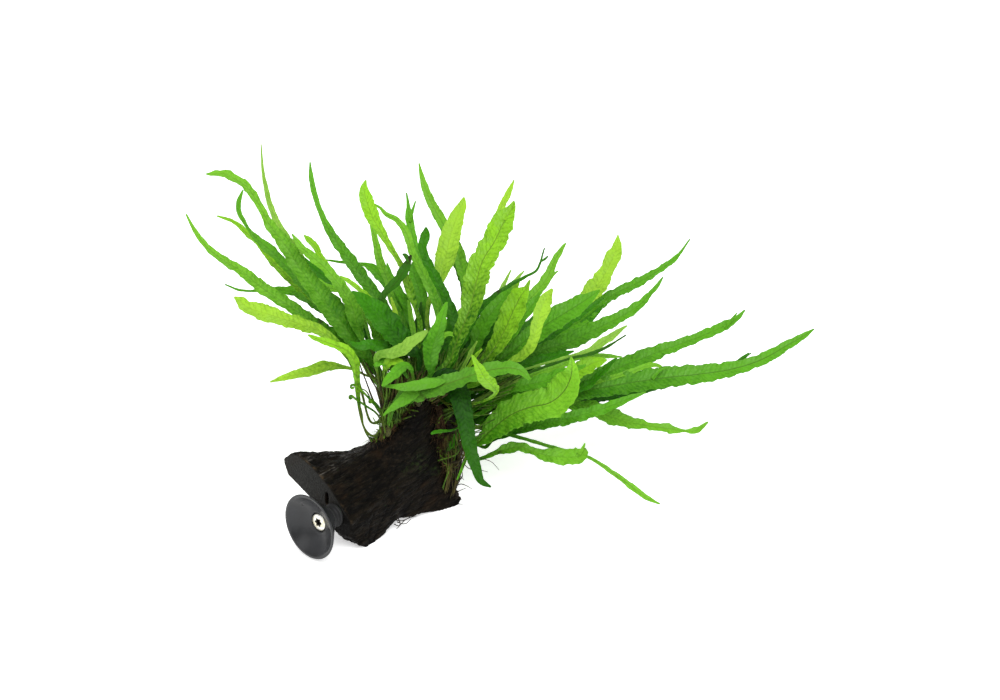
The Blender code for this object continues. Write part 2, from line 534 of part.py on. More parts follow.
def make_frond(base, frond, material):
    """A strap of four-cornered sections: a thin stalk, a wider blade and a point."""
    line = frond_line(base, frond, FRONDS_STATIONS)
    vertices = []
    for i in range(FRONDS_STATIONS - 1):
        place = Vector(line[i, :3])
        ahead = Vector(line[i + 1, :3] - line[max(i - 1, 0), :3]).normalized()
        side, upper, shown = blade_frame(ahead)
        width = max(line[i, 3], 1.6) * PIXEL / shown
        thick = STALK_THICKNESS if i == 0 else BLADE_THICKNESS
        vertices += [place + side * width / 2, place + upper * thick / 2,
                     place - side * width / 2, place - upper * thick / 2]
    faces = tube_faces(FRONDS_STATIONS - 1, 4)[:-1]
    tip = len(vertices)
    vertices.append(Vector(line[-1, :3]))
    for j in range(4):
        faces.append((tip - 4 + j, tip - 4 + (j + 1) % 4, tip))
    add_object("frond_" + frond.name, vertices, faces, material)


def stalk_foot(line, index, first_point):
    """Where a stalk meets the creeping stem: on the side that looks up and to its first point."""
    middle, up = line[index]
    along = (line[min(index + 1, len(line) - 1)][0] - line[max(index - 1, 0)][0]).normalized()
    towards = (in_picture(*first_point[:2], depth_of(middle)) - middle).normalized()
    out = (towards - along * towards.dot(along)).normalized() + up * 0.6
    return middle + out.normalized() * (RHIZOME_RADIUS + 2 * CLEARANCE)


def make_fronds(surface):
    """Each creeping stem carries its fronds in order, evenly spaced along it."""
    green = paint("frond", (0.09, 0.28, 0.02), 0.5)
    for name, fronds in FRONDS.items():
        line = rhizome_line(surface, name, count=2 * len(fronds) + 3)
        for number, frond in enumerate(fronds):
            make_frond(stalk_foot(line, 2 * number + 2, frond.route[0]), frond, green)


def make_fiddlehead(surface):
    """A young frond, still curled at its end."""
    foot = stalk_foot(rhizome_line(surface, "left"), 1, FIDDLEHEAD_ROUTE[0])
    depth = depth_of(foot)
    route = [foot]
    for x, y in FIDDLEHEAD_ROUTE:
        route.append(in_picture(x, y, depth))
        depth += FIDDLEHEAD_LEAN * 4 * MM
    line = smooth_route(route, 14)
    vertices = []
    for i, place in enumerate(line):
        ahead = Vector(line[min(i + 1, 13)] - line[max(i - 1, 0)]).normalized()
        side = ahead.cross(VIEW_BACK).normalized()
        above = side.cross(ahead)
        for j in range(6):
            angle = math.pi * j / 3
            out = side * math.cos(angle) + above * math.sin(angle)
            vertices.append(Vector(place) + out * FIDDLEHEAD_RADIUS)
    add_object("fiddlehead", vertices, tube_faces(len(line), 6), paint("frond", (0.09, 0.28, 0.02), 0.5))


def main():
    for old in list(bpy.data.objects):
        bpy.data.objects.remove(old)
    surface = surface_of(make_driftwood())
    make_suction_cup()
    make_screw()
    for name in RHIZOMES:
        make_rhizome(surface, name)
    for name in ROOT_MATS:
        make_root_mat(surface, name)
    make_fronds(surface)
    make_fiddlehead(surface)


main()
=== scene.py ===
"""The looks of the java fern on driftwood: fine fronds, stems, roots, rough wood, rubber cup and screw."""

import math
from collections import namedtuple

import bmesh
import bpy
import numpy as np
from mathutils import Matrix, Vector, noise
from mathutils.bvhtree import BVHTree


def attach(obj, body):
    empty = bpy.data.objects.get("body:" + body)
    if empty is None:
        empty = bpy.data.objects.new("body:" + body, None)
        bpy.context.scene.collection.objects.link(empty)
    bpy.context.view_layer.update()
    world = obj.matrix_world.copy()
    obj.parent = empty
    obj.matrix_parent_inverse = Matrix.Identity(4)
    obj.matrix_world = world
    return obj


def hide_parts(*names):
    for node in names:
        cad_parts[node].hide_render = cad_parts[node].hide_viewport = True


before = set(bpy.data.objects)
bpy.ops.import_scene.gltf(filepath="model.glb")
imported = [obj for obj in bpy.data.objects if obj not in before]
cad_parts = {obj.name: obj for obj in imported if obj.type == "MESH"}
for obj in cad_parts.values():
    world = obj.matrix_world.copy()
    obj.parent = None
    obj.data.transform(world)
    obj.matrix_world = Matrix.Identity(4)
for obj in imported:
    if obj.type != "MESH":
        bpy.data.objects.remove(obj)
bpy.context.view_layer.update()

MM = 0.001
CLEARANCE = 0.35 * MM
WELD_DISTANCE = 0.01 * MM
TINY = 1e-12

# Seeds of the random draws, which make every run give the same plant
SEEDS = {"fronds": 1, "small": 200, "spurs": 300, "back": 400, "back_routes": 11, "root_mats": 40,
         "sheaves": 70, "moss": 61, "clump": 83}

# The photograph's viewpoint, which turns picture points into places round the plant
VIEW_AZIMUTH = math.radians(-48.3)
VIEW_ELEVATION = math.radians(23.3)
VIEW_DISTANCE = 1178 * MM
VIEW_LENS = 80
PIXEL = 0.53 * MM
PICTURE_CENTRE = (500, 350)
VIEW_TARGET = Vector((32.3, -49.8, 96.3)) * MM
VIEW_BACK = Vector((
    math.sin(VIEW_AZIMUTH) * math.cos(VIEW_ELEVATION),
    -math.cos(VIEW_AZIMUTH) * math.cos(VIEW_ELEVATION),
    math.sin(VIEW_ELEVATION),
))
VIEW_RIGHT = Vector((math.cos(VIEW_AZIMUTH), math.sin(VIEW_AZIMUTH), 0))
VIEW_UP = VIEW_BACK.cross(VIEW_RIGHT)

# Places on the wood are given in millimetres from its front foot corner, which is here
FOOT_CORNER = Vector((-48, -22, 0)) * MM

# The cup's axis and the saw cut, in millimetres from the foot corner
CUP_Y = 10
CUP_Z = 19.5
SAW_CUT_X = -7

# Creeping stems, laid on the wood below these points, in millimetres from the foot corner
RHIZOMES = {
    "left": ((37, 14, 47.5), (43, 20, 50.5), (49, 25.5, 48.5), (55, 31, 44.5), (61, 37, 39),
             (65, 43, 33)),
    "top": ((52, 7, 64), (56, 12, 68), (60, 19, 64), (64, 27, 54), (68, 34, 47), (71, 41, 40)),
    "crown": ((70, 12.5, 64), (76, 17, 62), (79, 24, 57), (80, 31, 48), (79, 38, 38)),
    "right": ((83, 14, 16), (83, 15, 28), (83, 19, 39), (83, 25, 44), (83, 31, 38), (82, 36, 28)),
}

# Fronds, from base to tip: picture x, y and blade width in pixels; lean is nearing per unit of length
Frond = namedtuple("Frond", "name lean route")
FRONDS = {
    "left": (
        Frond("left_front_long", 0.32, ((392, 409, 6), (400, 401, 13), (411, 394, 19), (426, 389, 20),
              (443, 385, 18), (460, 379, 15), (478, 373, 14), (495, 369, 14), (510, 368, 12),
              (521, 371, 9), (530, 380, 2))),
        Frond("left_arch", 0.22, ((374, 436, 2), (366, 431, 2), (361, 418, 2), (358.5, 400, 3.5),
              (356.5, 374, 6.5), (354, 360, 8.5), (346, 350, 8.5), (332, 344, 7), (317, 339, 5),
              (308, 335, 1))),
        Frond("left_yellow_broad", 0.2, ((370, 421, 2), (361, 390, 2.5), (350, 361, 4), (336, 343, 7),
              (320, 331, 10), (300, 324, 13), (280, 318, 14), (265, 313, 17), (249, 308, 12.5),
              (241, 302, 9.5), (234, 297, 1))),
        Frond("left_pale_finger", 0.37, ((378, 376, 2), (376, 364, 4), (378, 356, 7), (385, 353.5, 8),
              (393, 353, 11), (401, 350, 12.5), (412, 342, 11), (421, 336, 8), (428, 331, 2))),
        Frond("left_droop", 0.05, ((379, 383, 2), (365, 375, 2), (352, 369, 2.5), (341, 367, 4.5),
              (330, 366, 9.5), (320, 368, 12), (308, 372, 10), (290, 376, 7.5), (270, 382, 1))),
        Frond("left_curled_tip", -0.05, ((380, 374, 3), (366, 356, 10), (354, 339, 17), (342, 322, 22),
              (331, 308, 23), (321, 296, 20), (311, 283, 17), (298.5, 266, 17), (288, 249, 15),
              (277.5, 235, 12), (269, 224, 9.5), (262, 210, 6.5), (253.5, 196, 8), (246, 186, 8),
              (232, 177, 8), (222, 173.5, 8), (206, 174, 1))),
        Frond("left_low_long", -0.12, ((383, 384, 4), (366, 363, 7), (343, 341, 11), (313, 322, 11.5),
              (285, 303, 12), (261, 287, 12.5), (243, 272, 10), (224, 260.5, 8), (208, 248, 6),
              (195, 231, 4), (186, 214, 1))),
        Frond("left_hooked", -0.2, ((376, 366, 4), (350, 338, 7), (325, 309, 9), (300, 281, 10),
              (281, 261, 9), (271.5, 251.3, 10), (264, 245, 9.5), (255, 237, 6), (248.5, 229, 3),
              (243, 220, 4), (238.5, 210, 5), (239.5, 199, 4.5), (243, 190, 1))),
        Frond("left_yellow_thin", -0.27, ((372, 362, 3), (345, 328, 6), (312, 297, 8), (296, 285, 8),
              (283, 272, 8), (272, 261, 7), (265, 252, 6), (257, 242, 5), (250.5, 236, 6.5),
              (244.5, 231, 6), (239, 225.5, 4), (230, 220, 3.5), (217, 216, 1))),
        Frond("left_straight", -0.35, ((374, 362, 3), (345, 328, 9), (318, 304.5, 13), (297, 292.5, 11),
              (280, 290, 7), (262, 290, 4), (251, 291, 2), (239, 290, 2), (225, 284.5, 0.8))),
        Frond("left_tall", -0.52, ((378, 368, 3), (362, 344, 5), (345, 322, 8), (325, 297, 9),
              (305, 267, 10), (293, 248, 10), (286, 238, 9), (279, 226, 7), (275, 218, 6.5),
              (272, 210, 6), (268.5, 200, 5.5), (266.5, 190, 5), (263, 172, 3), (261, 144, 0.8))),
    ),
    "top": (
        Frond("top_hanging", 0.25, ((430, 381, 3), (441, 374, 9), (450, 377, 19), (457, 389, 21),
              (462, 405, 19), (466, 425, 16), (470, 447, 13.5), (476, 468, 10), (481, 481, 6.5),
              (491, 487, 1))),
        Frond("top_short_low", 0.62, ((412, 372, 3), (408, 366, 6), (402, 367, 10), (394, 374, 10),
              (387, 381, 7), (382, 386, 1))),
        Frond("top_short_bright", 0.55, ((430, 376, 4), (431, 366, 11), (431, 356, 15), (433, 345, 18),
              (437, 333, 14), (441, 320, 10), (444, 310, 6), (447, 302, 1))),
        Frond("top_big_blistered", 0.28, ((446, 366, 7), (455, 346, 11), (463, 326, 15),
              (470.5, 306, 20), (475.5, 284, 24), (482, 262, 24), (494, 242, 23.5), (503, 223, 23),
              (511.5, 209, 9.5), (514, 201, 1))),
        Frond("top_dark_broad", 0.16, ((420, 358, 6), (408, 348, 16), (400, 338, 22), (390, 327, 24),
              (380, 316, 24), (370, 306, 18), (360, 297, 9), (352, 291, 1))),
        Frond("top_dark_crossing", 0.1, ((405, 355, 3), (388, 326, 4), (381, 305, 6), (386, 292, 7),
              (397, 281, 9.5), (406, 267, 9), (411, 255, 1.5))),
        Frond("top_yellow_spoon", 0.05, ((420, 332, 5), (416, 310, 4), (413, 300, 7), (409, 288, 9),
              (405, 276, 7), (401, 265, 5), (390, 247, 6), (380, 230, 9), (372.5, 217, 13.5),
              (368, 205, 14), (365, 195, 12), (364, 187, 7), (366, 180, 1))),
        Frond("top_low_left", -0.05, ((402, 356, 4), (378, 350, 3), (364, 342, 3), (360, 333, 8),
              (356, 320, 15), (352, 307, 15), (347, 296, 12.5), (338, 283, 11), (328, 271, 9),
              (316, 260, 9), (303, 249, 7), (296, 240, 4), (292, 234, 1))),
        Frond("top_thin_arch", 0.0, ((442, 330, 6), (440, 318, 8), (436, 302, 9), (428, 284, 9),
              (420, 268, 8), (412, 252, 7), (407, 234.5, 7.5), (397.5, 220.5, 5.5), (387, 215, 4.5),
              (379, 207, 2), (366, 201, 0.8))),
        Frond("top_dark_wavy", -0.1, ((464, 345, 8), (460, 335, 8), (454, 318, 11), (445, 296, 9),
              (435, 277, 9.5), (426.5, 260, 8), (422.5, 247, 8.5), (425.5, 235, 9.5), (426, 227, 1))),
        Frond("top_long_dark", -0.2, ((415, 357, 7), (400, 335, 11), (380, 304, 14), (368, 286, 12.5),
              (356, 269, 13), (344, 252, 11), (332, 235, 9), (325, 222, 6.5), (319, 208, 5),
              (314, 192, 5.5), (311, 176, 4.5), (310, 162, 0.8))),
        Frond("top_hidden_green", -0.32, ((405, 330, 6), (392, 300, 7), (387, 279, 7), (380, 262, 8.5),
              (376, 243, 6.5), (372, 226, 4), (370, 214, 1))),
        Frond("top_dark_spike", -0.3, ((460, 335, 8), (448, 312, 9), (436, 289, 9), (425, 268, 8),
              (417, 250, 7), (412, 234, 8), (409, 216, 8), (408.3, 206, 3.5), (406.5, 192.5, 1))),
        Frond("top_paddle", -0.36, ((428, 345, 4), (427, 322, 4), (429, 302, 5), (434, 291, 6),
              (440, 280, 9), (443.5, 265, 19), (446.8, 252, 22), (451.5, 232, 20.5), (458, 214, 14),
              (462.5, 204, 8.5), (464, 197, 1))),
        Frond("top_grey_broad", -0.4, ((430, 345, 5), (427, 326, 6), (424, 312, 9), (421.5, 300, 13),
              (418, 286, 15), (414, 274, 11), (413, 262, 2))),
        Frond("top_narrow", -0.45, ((418, 350, 5), (413, 333, 4), (411, 324, 5), (409, 316, 8),
              (406, 304, 9), (399, 292, 9), (391, 279, 8), (387, 263, 1))),
        Frond("top_tall_middle", -0.53, ((463, 330, 8), (465.5, 302, 10), (466, 285, 12),
              (461.5, 268, 15), (457.5, 252, 13.5), (450, 236, 12), (440.5, 219.5, 11.5),
              (431.5, 203, 9.5), (425.5, 189, 8), (421, 173, 4), (419, 163, 0.8))),
        Frond("top_thin_tail", -0.62, ((407, 330, 7), (394, 298, 9), (387, 285, 9), (380, 276, 11),
              (372, 268, 9.5), (362, 264, 3), (345, 262.5, 3), (326, 260, 1))),
        Frond("top_behind_big", -0.65, ((462, 322, 7), (470, 288, 8), (480, 255, 9), (495, 222, 7),
              (502.5, 205, 7), (508.5, 193, 6.5), (514, 180, 1))),
    ),
    "crown": (
        Frond("crown_small_bright", 1.2, ((446, 403, 2), (466, 405, 2), (486, 400, 2), (496, 392, 4),
              (491, 385, 12), (484, 377, 12), (480, 369, 9), (476, 362, 5), (472, 355, 1))),
        Frond("crown_folded_bright", 0.5, ((474, 385, 4), (494, 371, 4), (511, 362, 6), (524, 354, 9),
              (532, 344, 10), (536, 329, 11), (541, 311, 14.5), (546, 299, 12.5), (552.5, 289, 2))),
        Frond("crown_wide_bright", 0.3, ((466, 384, 6), (480, 368, 9), (491, 353, 13), (498, 342, 17),
              (504, 331, 21), (509, 320, 23), (514, 309, 23), (520, 297, 20), (526, 289, 7),
              (530, 280, 1))),
        Frond("crown_grey_green", 0.08, ((464, 366, 9), (474, 345, 14), (481, 330, 16),
              (488.5, 317, 16), (497, 305, 13), (504, 297, 9), (512, 288, 1))),
        Frond("crown_broad", -0.02, ((464, 388, 6), (478, 376, 8), (492, 366, 11), (511, 352, 15),
              (530, 337, 20), (549, 322.5, 23), (568, 311, 21), (584, 301, 15), (600, 290, 1))),
        Frond("crown_forked", -0.07, ((458, 358, 7), (466, 335, 9), (474, 316, 10), (486, 303, 7),
              (498, 293.5, 5), (512, 284, 4), (525, 277, 2.5), (537.5, 269, 2), (544.5, 248, 1))),
        Frond("crown_long_upper", -0.25, ((478, 378, 7), (502, 364, 9), (530, 354, 12), (552, 347, 14),
              (572, 340.5, 18), (594, 329.7, 16.5), (619, 317.5, 12), (638, 306, 9.5), (648, 296, 5.5),
              (657, 286, 4), (663, 277, 0.8))),
        Frond("crown_sharp", -0.38, ((475, 356, 8), (492, 337, 9), (509, 319, 10), (524, 305, 11),
              (537, 291, 11), (547, 278, 10.5), (554, 262, 7), (561, 250, 5), (566, 243, 0.8))),
        Frond("crown_bright_paddle", -0.48, ((482, 372, 6), (505, 357, 7), (525, 344, 8), (547, 329, 8),
              (568, 314, 9), (584, 300, 14), (593.5, 290, 21), (601, 280.5, 19.5), (607.5, 269, 14.5),
              (612.5, 258, 17), (617, 247, 11), (618, 235, 1))),
        Frond("crown_long_top", -0.6, ((478, 378, 6), (505, 363, 7), (545, 341, 8), (575, 323, 12),
              (591, 310.5, 14), (605, 299.5, 12), (617, 292.5, 10.5), (637, 283, 10.5), (656, 272, 7),
              (672, 261, 6), (680, 253, 3), (690, 239, 0.8))),
    ),
    "right": (
        Frond("right_torn", 0.28, ((470, 456, 2), (480, 459, 3), (490, 455, 4), (500, 451, 6.5),
              (510, 448, 10.5), (521, 447, 9.5), (532, 451, 7), (542, 454, 11), (553, 456, 14.5),
              (567, 457, 16), (580, 456, 14), (587, 450, 5))),
        Frond("right_big_bright", 0.42, ((470, 446, 2.5), (479, 442, 8), (488, 433, 18), (498, 424, 25),
              (511, 414.5, 30), (530, 407, 31), (549, 403, 31), (562, 393, 32), (570, 379, 23),
              (572, 367, 10), (571, 357, 1))),
        Frond("right_trailing", 0.1, ((478, 428, 2), (495, 430, 2.5), (512, 435.5, 3), (530, 440.5, 3),
              (550, 446.5, 3), (571, 452, 2.5), (590, 458, 2.5), (606, 468, 4), (623, 480, 5),
              (636, 490, 6), (649, 499, 4), (660, 504, 1))),
        Frond("right_wavy", 0.22, ((482, 404, 4), (500, 392, 7), (520, 386, 11), (540, 382, 13),
              (558, 376, 13), (573, 370, 7), (586, 365, 1))),
        Frond("right_pale_tip", -0.07, ((485, 412, 4), (515, 399, 7), (545, 388, 10), (565, 379, 13),
              (580, 370, 16), (591, 364, 15), (600, 361, 9), (607, 360, 1))),
        Frond("right_low_plain", -0.1, ((480, 446, 3), (492, 440, 4), (506, 434, 7), (525, 428, 9),
              (545, 423, 12), (565, 419, 13), (585, 414, 12), (605, 408, 10), (625, 400, 7),
              (646, 392, 1))),
        Frond("right_longest", -0.18, ((486, 422, 6), (512, 411, 9), (545, 400, 13), (582, 391, 18),
              (610, 386, 21), (640, 381, 22), (670, 377, 21.5), (700, 374, 19.5), (727, 370, 16),
              (750, 364, 12.5), (769, 356, 12), (786, 346, 9.5), (802, 337, 6.5), (814, 329, 1))),
        Frond("right_twisted", -0.26, ((484, 428, 4), (510, 420, 6), (540, 411, 7), (568, 405, 9),
              (590, 407, 13), (607, 415, 17), (628, 422, 13), (650, 426, 7.5), (671, 429, 9),
              (684, 431, 2.5), (697, 430, 6.5), (708, 422, 1))),
        Frond("right_under_longest", -0.32, ((484, 418, 4), (515, 410, 6), (550, 405, 7), (588, 400, 9),
              (615, 395, 10), (640, 390, 9), (662, 385, 8), (700, 376, 8), (722, 369, 7), (738, 362, 3),
              (751, 353, 0.8))),
        Frond("right_upper_long", -0.42, ((480, 408, 6), (510, 398, 8), (545, 390, 10), (572, 385, 14),
              (597, 377, 17), (620, 367, 16), (641, 359, 18), (660, 351, 14.5), (680, 344, 11.5),
              (701, 336, 10), (720, 328, 10.5), (736, 319, 6), (745, 310, 1))),
    ),
}

# Each frond's look: paint, wavy margins, blisters between veins, cupping, and how clear its rib is
Look = namedtuple("Look", "paint waves blisters cup rib", defaults=(0.3,))
LOOKS = {
    "left_front_long": Look("bluish", 0.2, 0.7, 0.18, 0.6),
    "left_arch": Look("fresh", 0.2, 0.3, 0.2, 0.5),
    "left_yellow_broad": Look("lime", 0.15, 0.5, 0.15),
    "left_pale_finger": Look("pale", 0.12, 0.4, 0.2, 0.15),
    "left_droop": Look("lime", 0.12, 0.3, 0.3, 0.2),
    "left_low_long": Look("mid", 0.22, 0.6, 0.3),
    "left_hooked": Look("green", 0.25, 0.6, 0.3),
    "left_yellow_thin": Look("fresh", 0.25, 0.5, 0.2),
    "left_straight": Look("green", 0.2, 0.6, 0.25),
    "left_curled_tip": Look("mid", 0.25, 0.8, 0.3),
    "left_tall": Look("pale", 0.3, 0.5, 0.3),
    "top_hanging": Look("hanging", 0.12, 0.2, 0.12, 0.1),
    "top_short_low": Look("green", 0.15, 0.4, 0.2, 0.15),
    "top_short_bright": Look("green", 0.2, 0.7, 0.15),
    "top_dark_crossing": Look("brown", 0.2, 0.6, 0.2),
    "top_paddle": Look("lime", 0.1, 0.5, 0.12),
    "top_grey_broad": Look("green", 0.2, 0.8, 0.2),
    "top_big_blistered": Look("fresh", 0.14, 1.6, 0.14, 0.75),
    "top_dark_broad": Look("deep", 0.15, 0.9, 0.15),
    "top_yellow_spoon": Look("fresh", 0.15, 0.5, 0.2),
    "top_low_left": Look("mid", 0.25, 0.7, 0.25),
    "top_thin_arch": Look("mid", 0.2, 0.3, 0.2),
    "top_dark_wavy": Look("deep", 0.35, 0.8, 0.25),
    "top_long_dark": Look("green", 0.25, 1.0, 0.25),
    "top_hidden_green": Look("mid", 0.2, 0.5, 0.25),
    "top_dark_spike": Look("green", 0.3, 0.8, 0.3),
    "top_narrow": Look("green", 0.25, 0.7, 0.25),
    "top_tall_middle": Look("mid", 0.2, 0.8, 0.3),
    "top_behind_big": Look("lime", 0.25, 0.4, 0.25),
    "top_thin_tail": Look("green", 0.2, 0.5, 0.2),
    "crown_small_bright": Look("fresh", 0.12, 0.5, 0.2),
    "crown_folded_bright": Look("lime", 0.12, 0.3, 0.25, 0.1),
    "crown_wide_bright": Look("fresh", 0.16, 1.0, 0.12, 0.7),
    "crown_grey_green": Look("green", 0.16, 1.2, 0.2),
    "crown_broad": Look("green", 0.14, 1.0, 0.15, 0.6),
    "crown_forked": Look("deep", 0.2, 0.6, 0.25),
    "crown_long_upper": Look("green", 0.28, 0.9, 0.2),
    "crown_sharp": Look("mid", 0.25, 0.7, 0.25),
    "crown_bright_paddle": Look("lime", 0.22, 0.9, 0.15),
    "crown_long_top": Look("green", 0.28, 0.8, 0.2),
    "right_torn": Look("mid", 0.3, 0.9, 0.15),
    "right_big_bright": Look("clear", 0.12, 1.2, 0.12, 0.9),
    "right_trailing": Look("mid", 0.2, 0.4, 0.2),
    "right_wavy": Look("green", 0.3, 0.6, 0.15),
    "right_pale_tip": Look("fresh", 0.2, 0.5, 0.15),
    "right_low_plain": Look("green", 0.2, 0.8, 0.15),
    "right_longest": Look("green", 0.16, 1.1, 0.14, 0.8),
    "right_twisted": Look("mid", 0.3, 0.7, 0.2),
    "right_under_longest": Look("deep", 0.25, 0.6, 0.2),
    "right_upper_long": Look("green", 0.2, 1.1, 0.15),
}

# Paints of living tissue: the colour near a blade's base, near its tip and on its rib, and the slot; the
# dark base colour is partly the tissue's own and partly painted shade of the crown
Paint = namedtuple("Paint", "base tip rib slot")
PAINTS = {
    "shade": Paint((0.01, 0.055, 0.003), (0.028, 0.12, 0.005), (0.03, 0.06, 0.005), "leaf_dark"),
    "hanging": Paint((0.004, 0.035, 0.0005), (0.022, 0.13, 0.001), (0.02, 0.1, 0.004), "leaf_dark"),
    "brown": Paint((0.018, 0.08, 0.003), (0.035, 0.16, 0.006), (0.04, 0.05, 0.008), "leaf_dark"),
    "deep": Paint((0.009, 0.065, 0.001), (0.047, 0.245, 0.004), (0.025, 0.09, 0.008), "leaf_dark"),
    "green": Paint((0.035, 0.165, 0.004), (0.125, 0.42, 0.016), (0.06, 0.15, 0.012), "leaf_green"),
    "bluish": Paint((0.075, 0.22, 0.018), (0.13, 0.4, 0.022), (0.1, 0.14, 0.016), "leaf_green"),
    "mid": Paint((0.045, 0.2, 0.005), (0.2, 0.51, 0.028), (0.08, 0.17, 0.014), "leaf_green"),
    "fresh": Paint((0.02, 0.11, 0.002), (0.29, 0.62, 0.024), (0.12, 0.19, 0.02), "leaf_bright"),
    "clear": Paint((0.055, 0.24, 0.006), (0.25, 0.6, 0.03), (0.07, 0.09, 0.015), "leaf_bright"),
    "pale": Paint((0.085, 0.25, 0.014), (0.3, 0.56, 0.07), (0.18, 0.32, 0.045), "leaf_bright"),
    "lime": Paint((0.055, 0.19, 0.005), (0.37, 0.65, 0.042), (0.24, 0.38, 0.025), "leaf_yellow"),
}

# Dark damaged places on the fronds: picture points and sizes in pixels
SCORCHED = {
    "leaf_left_low_long": ((320.5, 321.5, 2.4), (327, 338.5, 1.8), (322, 330, 1.2)),
    "leaf_top_dark_crossing": ((408, 258, 5), (411, 254, 5)),
    "leaf_left_front_long": ((419, 392, 1.4), (422, 395, 1.4), (425, 398, 1.2)),
    "leaf_right_torn": ((500, 452, 1.6), (586, 447, 2.2)),
    "leaf_crown_forked": ((498, 291, 2.5),),
}

# How fronds are built: stalk widths in pixels, lengths in metres, the rest shares and counts
NATURAL_TURN = 0.45
STEM_FEET = 12
STALK_WIDTH = 2.4
STALK_WIDEST = 3.6
STALK_BLEND = 1.3
STALK_SHARE = 0.45
NARROWEST = 0.9
ROUGH_STATIONS = 60
LEAST_STATIONS = 16
PARENT_STATIONS = 120
RHIZOME_RADIUS = 2.1 * MM
STATION_STEP = 1.25 * MM
BLADE_COLUMNS = 13
VEIN_PITCH = 3.1 * MM
VEIN_SLANT = 0.8
BLISTER_HEIGHT = 0.2 * MM
LONGEST_WAVE = 1.3 * MM
BLADE_HALF_THICKNESS = 0.15 * MM
RIB_HEIGHT = 0.3 * MM
RIB_HALF_WIDTH = 0.4 * MM


def from_corner(x, y, z):
    """A place given in millimetres from the wood's front foot corner."""
    return FOOT_CORNER + Vector((x, y, z)) * MM


def in_picture(x, y, depth):
    """The place behind a picture point, depth metres nearer to the camera than the target."""
    shrink = (VIEW_DISTANCE - depth) / VIEW_DISTANCE
    across = (x - PICTURE_CENTRE[0]) * PIXEL * shrink
    above = (PICTURE_CENTRE[1] - y) * PIXEL * shrink
    return VIEW_TARGET + VIEW_RIGHT * across + VIEW_UP * above + VIEW_BACK * depth


def depth_of(place):
    return (place - VIEW_TARGET).dot(VIEW_BACK)


def to_picture(places):
    """The picture points of rows of places."""
    away = np.asarray(places) - np.array(VIEW_TARGET)
    scale = VIEW_DISTANCE / (VIEW_DISTANCE - away @ np.array(VIEW_BACK)) / PIXEL
    return (PICTURE_CENTRE[0] + away @ np.array(VIEW_RIGHT) * scale,
            PICTURE_CENTRE[1] - away @ np.array(VIEW_UP) * scale)


def spots_over(places, spots):
    """A mask of soft round spots, each a picture point and a size in pixels."""
    x, y = to_picture(places)
    mask = np.zeros(len(x))
    for spot_x, spot_y, size in spots:
        mask = np.maximum(mask, np.exp(-((x - spot_x) ** 2 + (y - spot_y) ** 2) / size ** 2))
    return mask


def smooth_route(points, count, finer=12):
    """count points, evenly spaced, along a smooth curve through the given points."""
    points = np.array(points, float)
    padded = np.vstack((2 * points[0] - points[1], points, 2 * points[-1] - points[-2]))
    curve = []
    for i in range(1, len(padded) - 2):
        p0, p1, p2, p3 = padded[i - 1:i + 3]
        for t in np.arange(finer) / finer:
            curve.append(0.5 * (2 * p1 + (p2 - p0) * t + (2 * p0 - 5 * p1 + 4 * p2 - p3) * t ** 2
                                + (3 * p1 - p0 - 3 * p2 + p3) * t ** 3))
    curve = np.array(curve + [points[-1]])
    along = np.concatenate(([0], np.cumsum(np.linalg.norm(np.diff(curve[:, :3], axis=0), axis=1))))
    wanted = np.linspace(0, along[-1], count)
    return np.column_stack([np.interp(wanted, along, column) for column in curve.T])


def route_length(points):
    return float(np.linalg.norm(np.diff(points[:, :3], axis=0), axis=1).sum())


def unit(rows):
    return rows / np.maximum(np.linalg.norm(rows, axis=1), TINY)[:, None]


def ring_faces(rings, sides, closed=False):
    """Faces between neighbouring rings; closed also joins the last ring to the first."""
    faces = []
    for i in range(rings if closed else rings - 1):
        following = (i + 1) % rings
        for j in range(sides):
            k = (j + 1) % sides
            faces.append((i * sides + j, i * sides + k, following * sides + k, following * sides + j))
    return faces


def tube_faces(rings, sides):
    """Faces of a tube of rings, with both ends closed by one polygon."""
    faces = ring_faces(rings, sides)
    faces.append(tuple(range(sides)))
    faces.append(tuple((rings - 1) * sides + j for j in reversed(range(sides))))
    return faces


def add_object(name, data):
    """A new object in the scene."""
    thing = bpy.data.objects.new(name, data)
    bpy.context.scene.collection.objects.link(thing)
    return thing


def store_values(mesh, values_by_name):
    """One number for each vertex, under each name, for the materials to read."""
    for name, values in values_by_name.items():
        layer = mesh.attributes.new(name, "FLOAT", "POINT")
        layer.data.foreach_set("value", np.asarray(values, np.float32))


def add_piece(name, vertices, faces, material, stands_for=(), attributes=None):
    """A smooth mesh piece, fixed to the model's one body."""
    mesh = bpy.data.meshes.new(name)
    mesh.from_pydata([tuple(v) for v in vertices], [], faces)
    mesh.update()
    shape = bmesh.new()
    shape.from_mesh(mesh)
    bmesh.ops.recalc_face_normals(shape, faces=shape.faces)
    shape.to_mesh(mesh)
    shape.free()
    store_values(mesh, attributes or {})
    return finish_piece(name, mesh, material, stands_for)


def finish_piece(name, mesh, material, stands_for=()):
    """A mesh as a piece of one material, fixed to the model's one body."""
    mesh.materials.clear()
    mesh.materials.append(material)
    mesh.shade_smooth()
    piece = add_object(name, mesh)
    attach(piece, "root")
    if stands_for:
        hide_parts(*stands_for)
    return piece


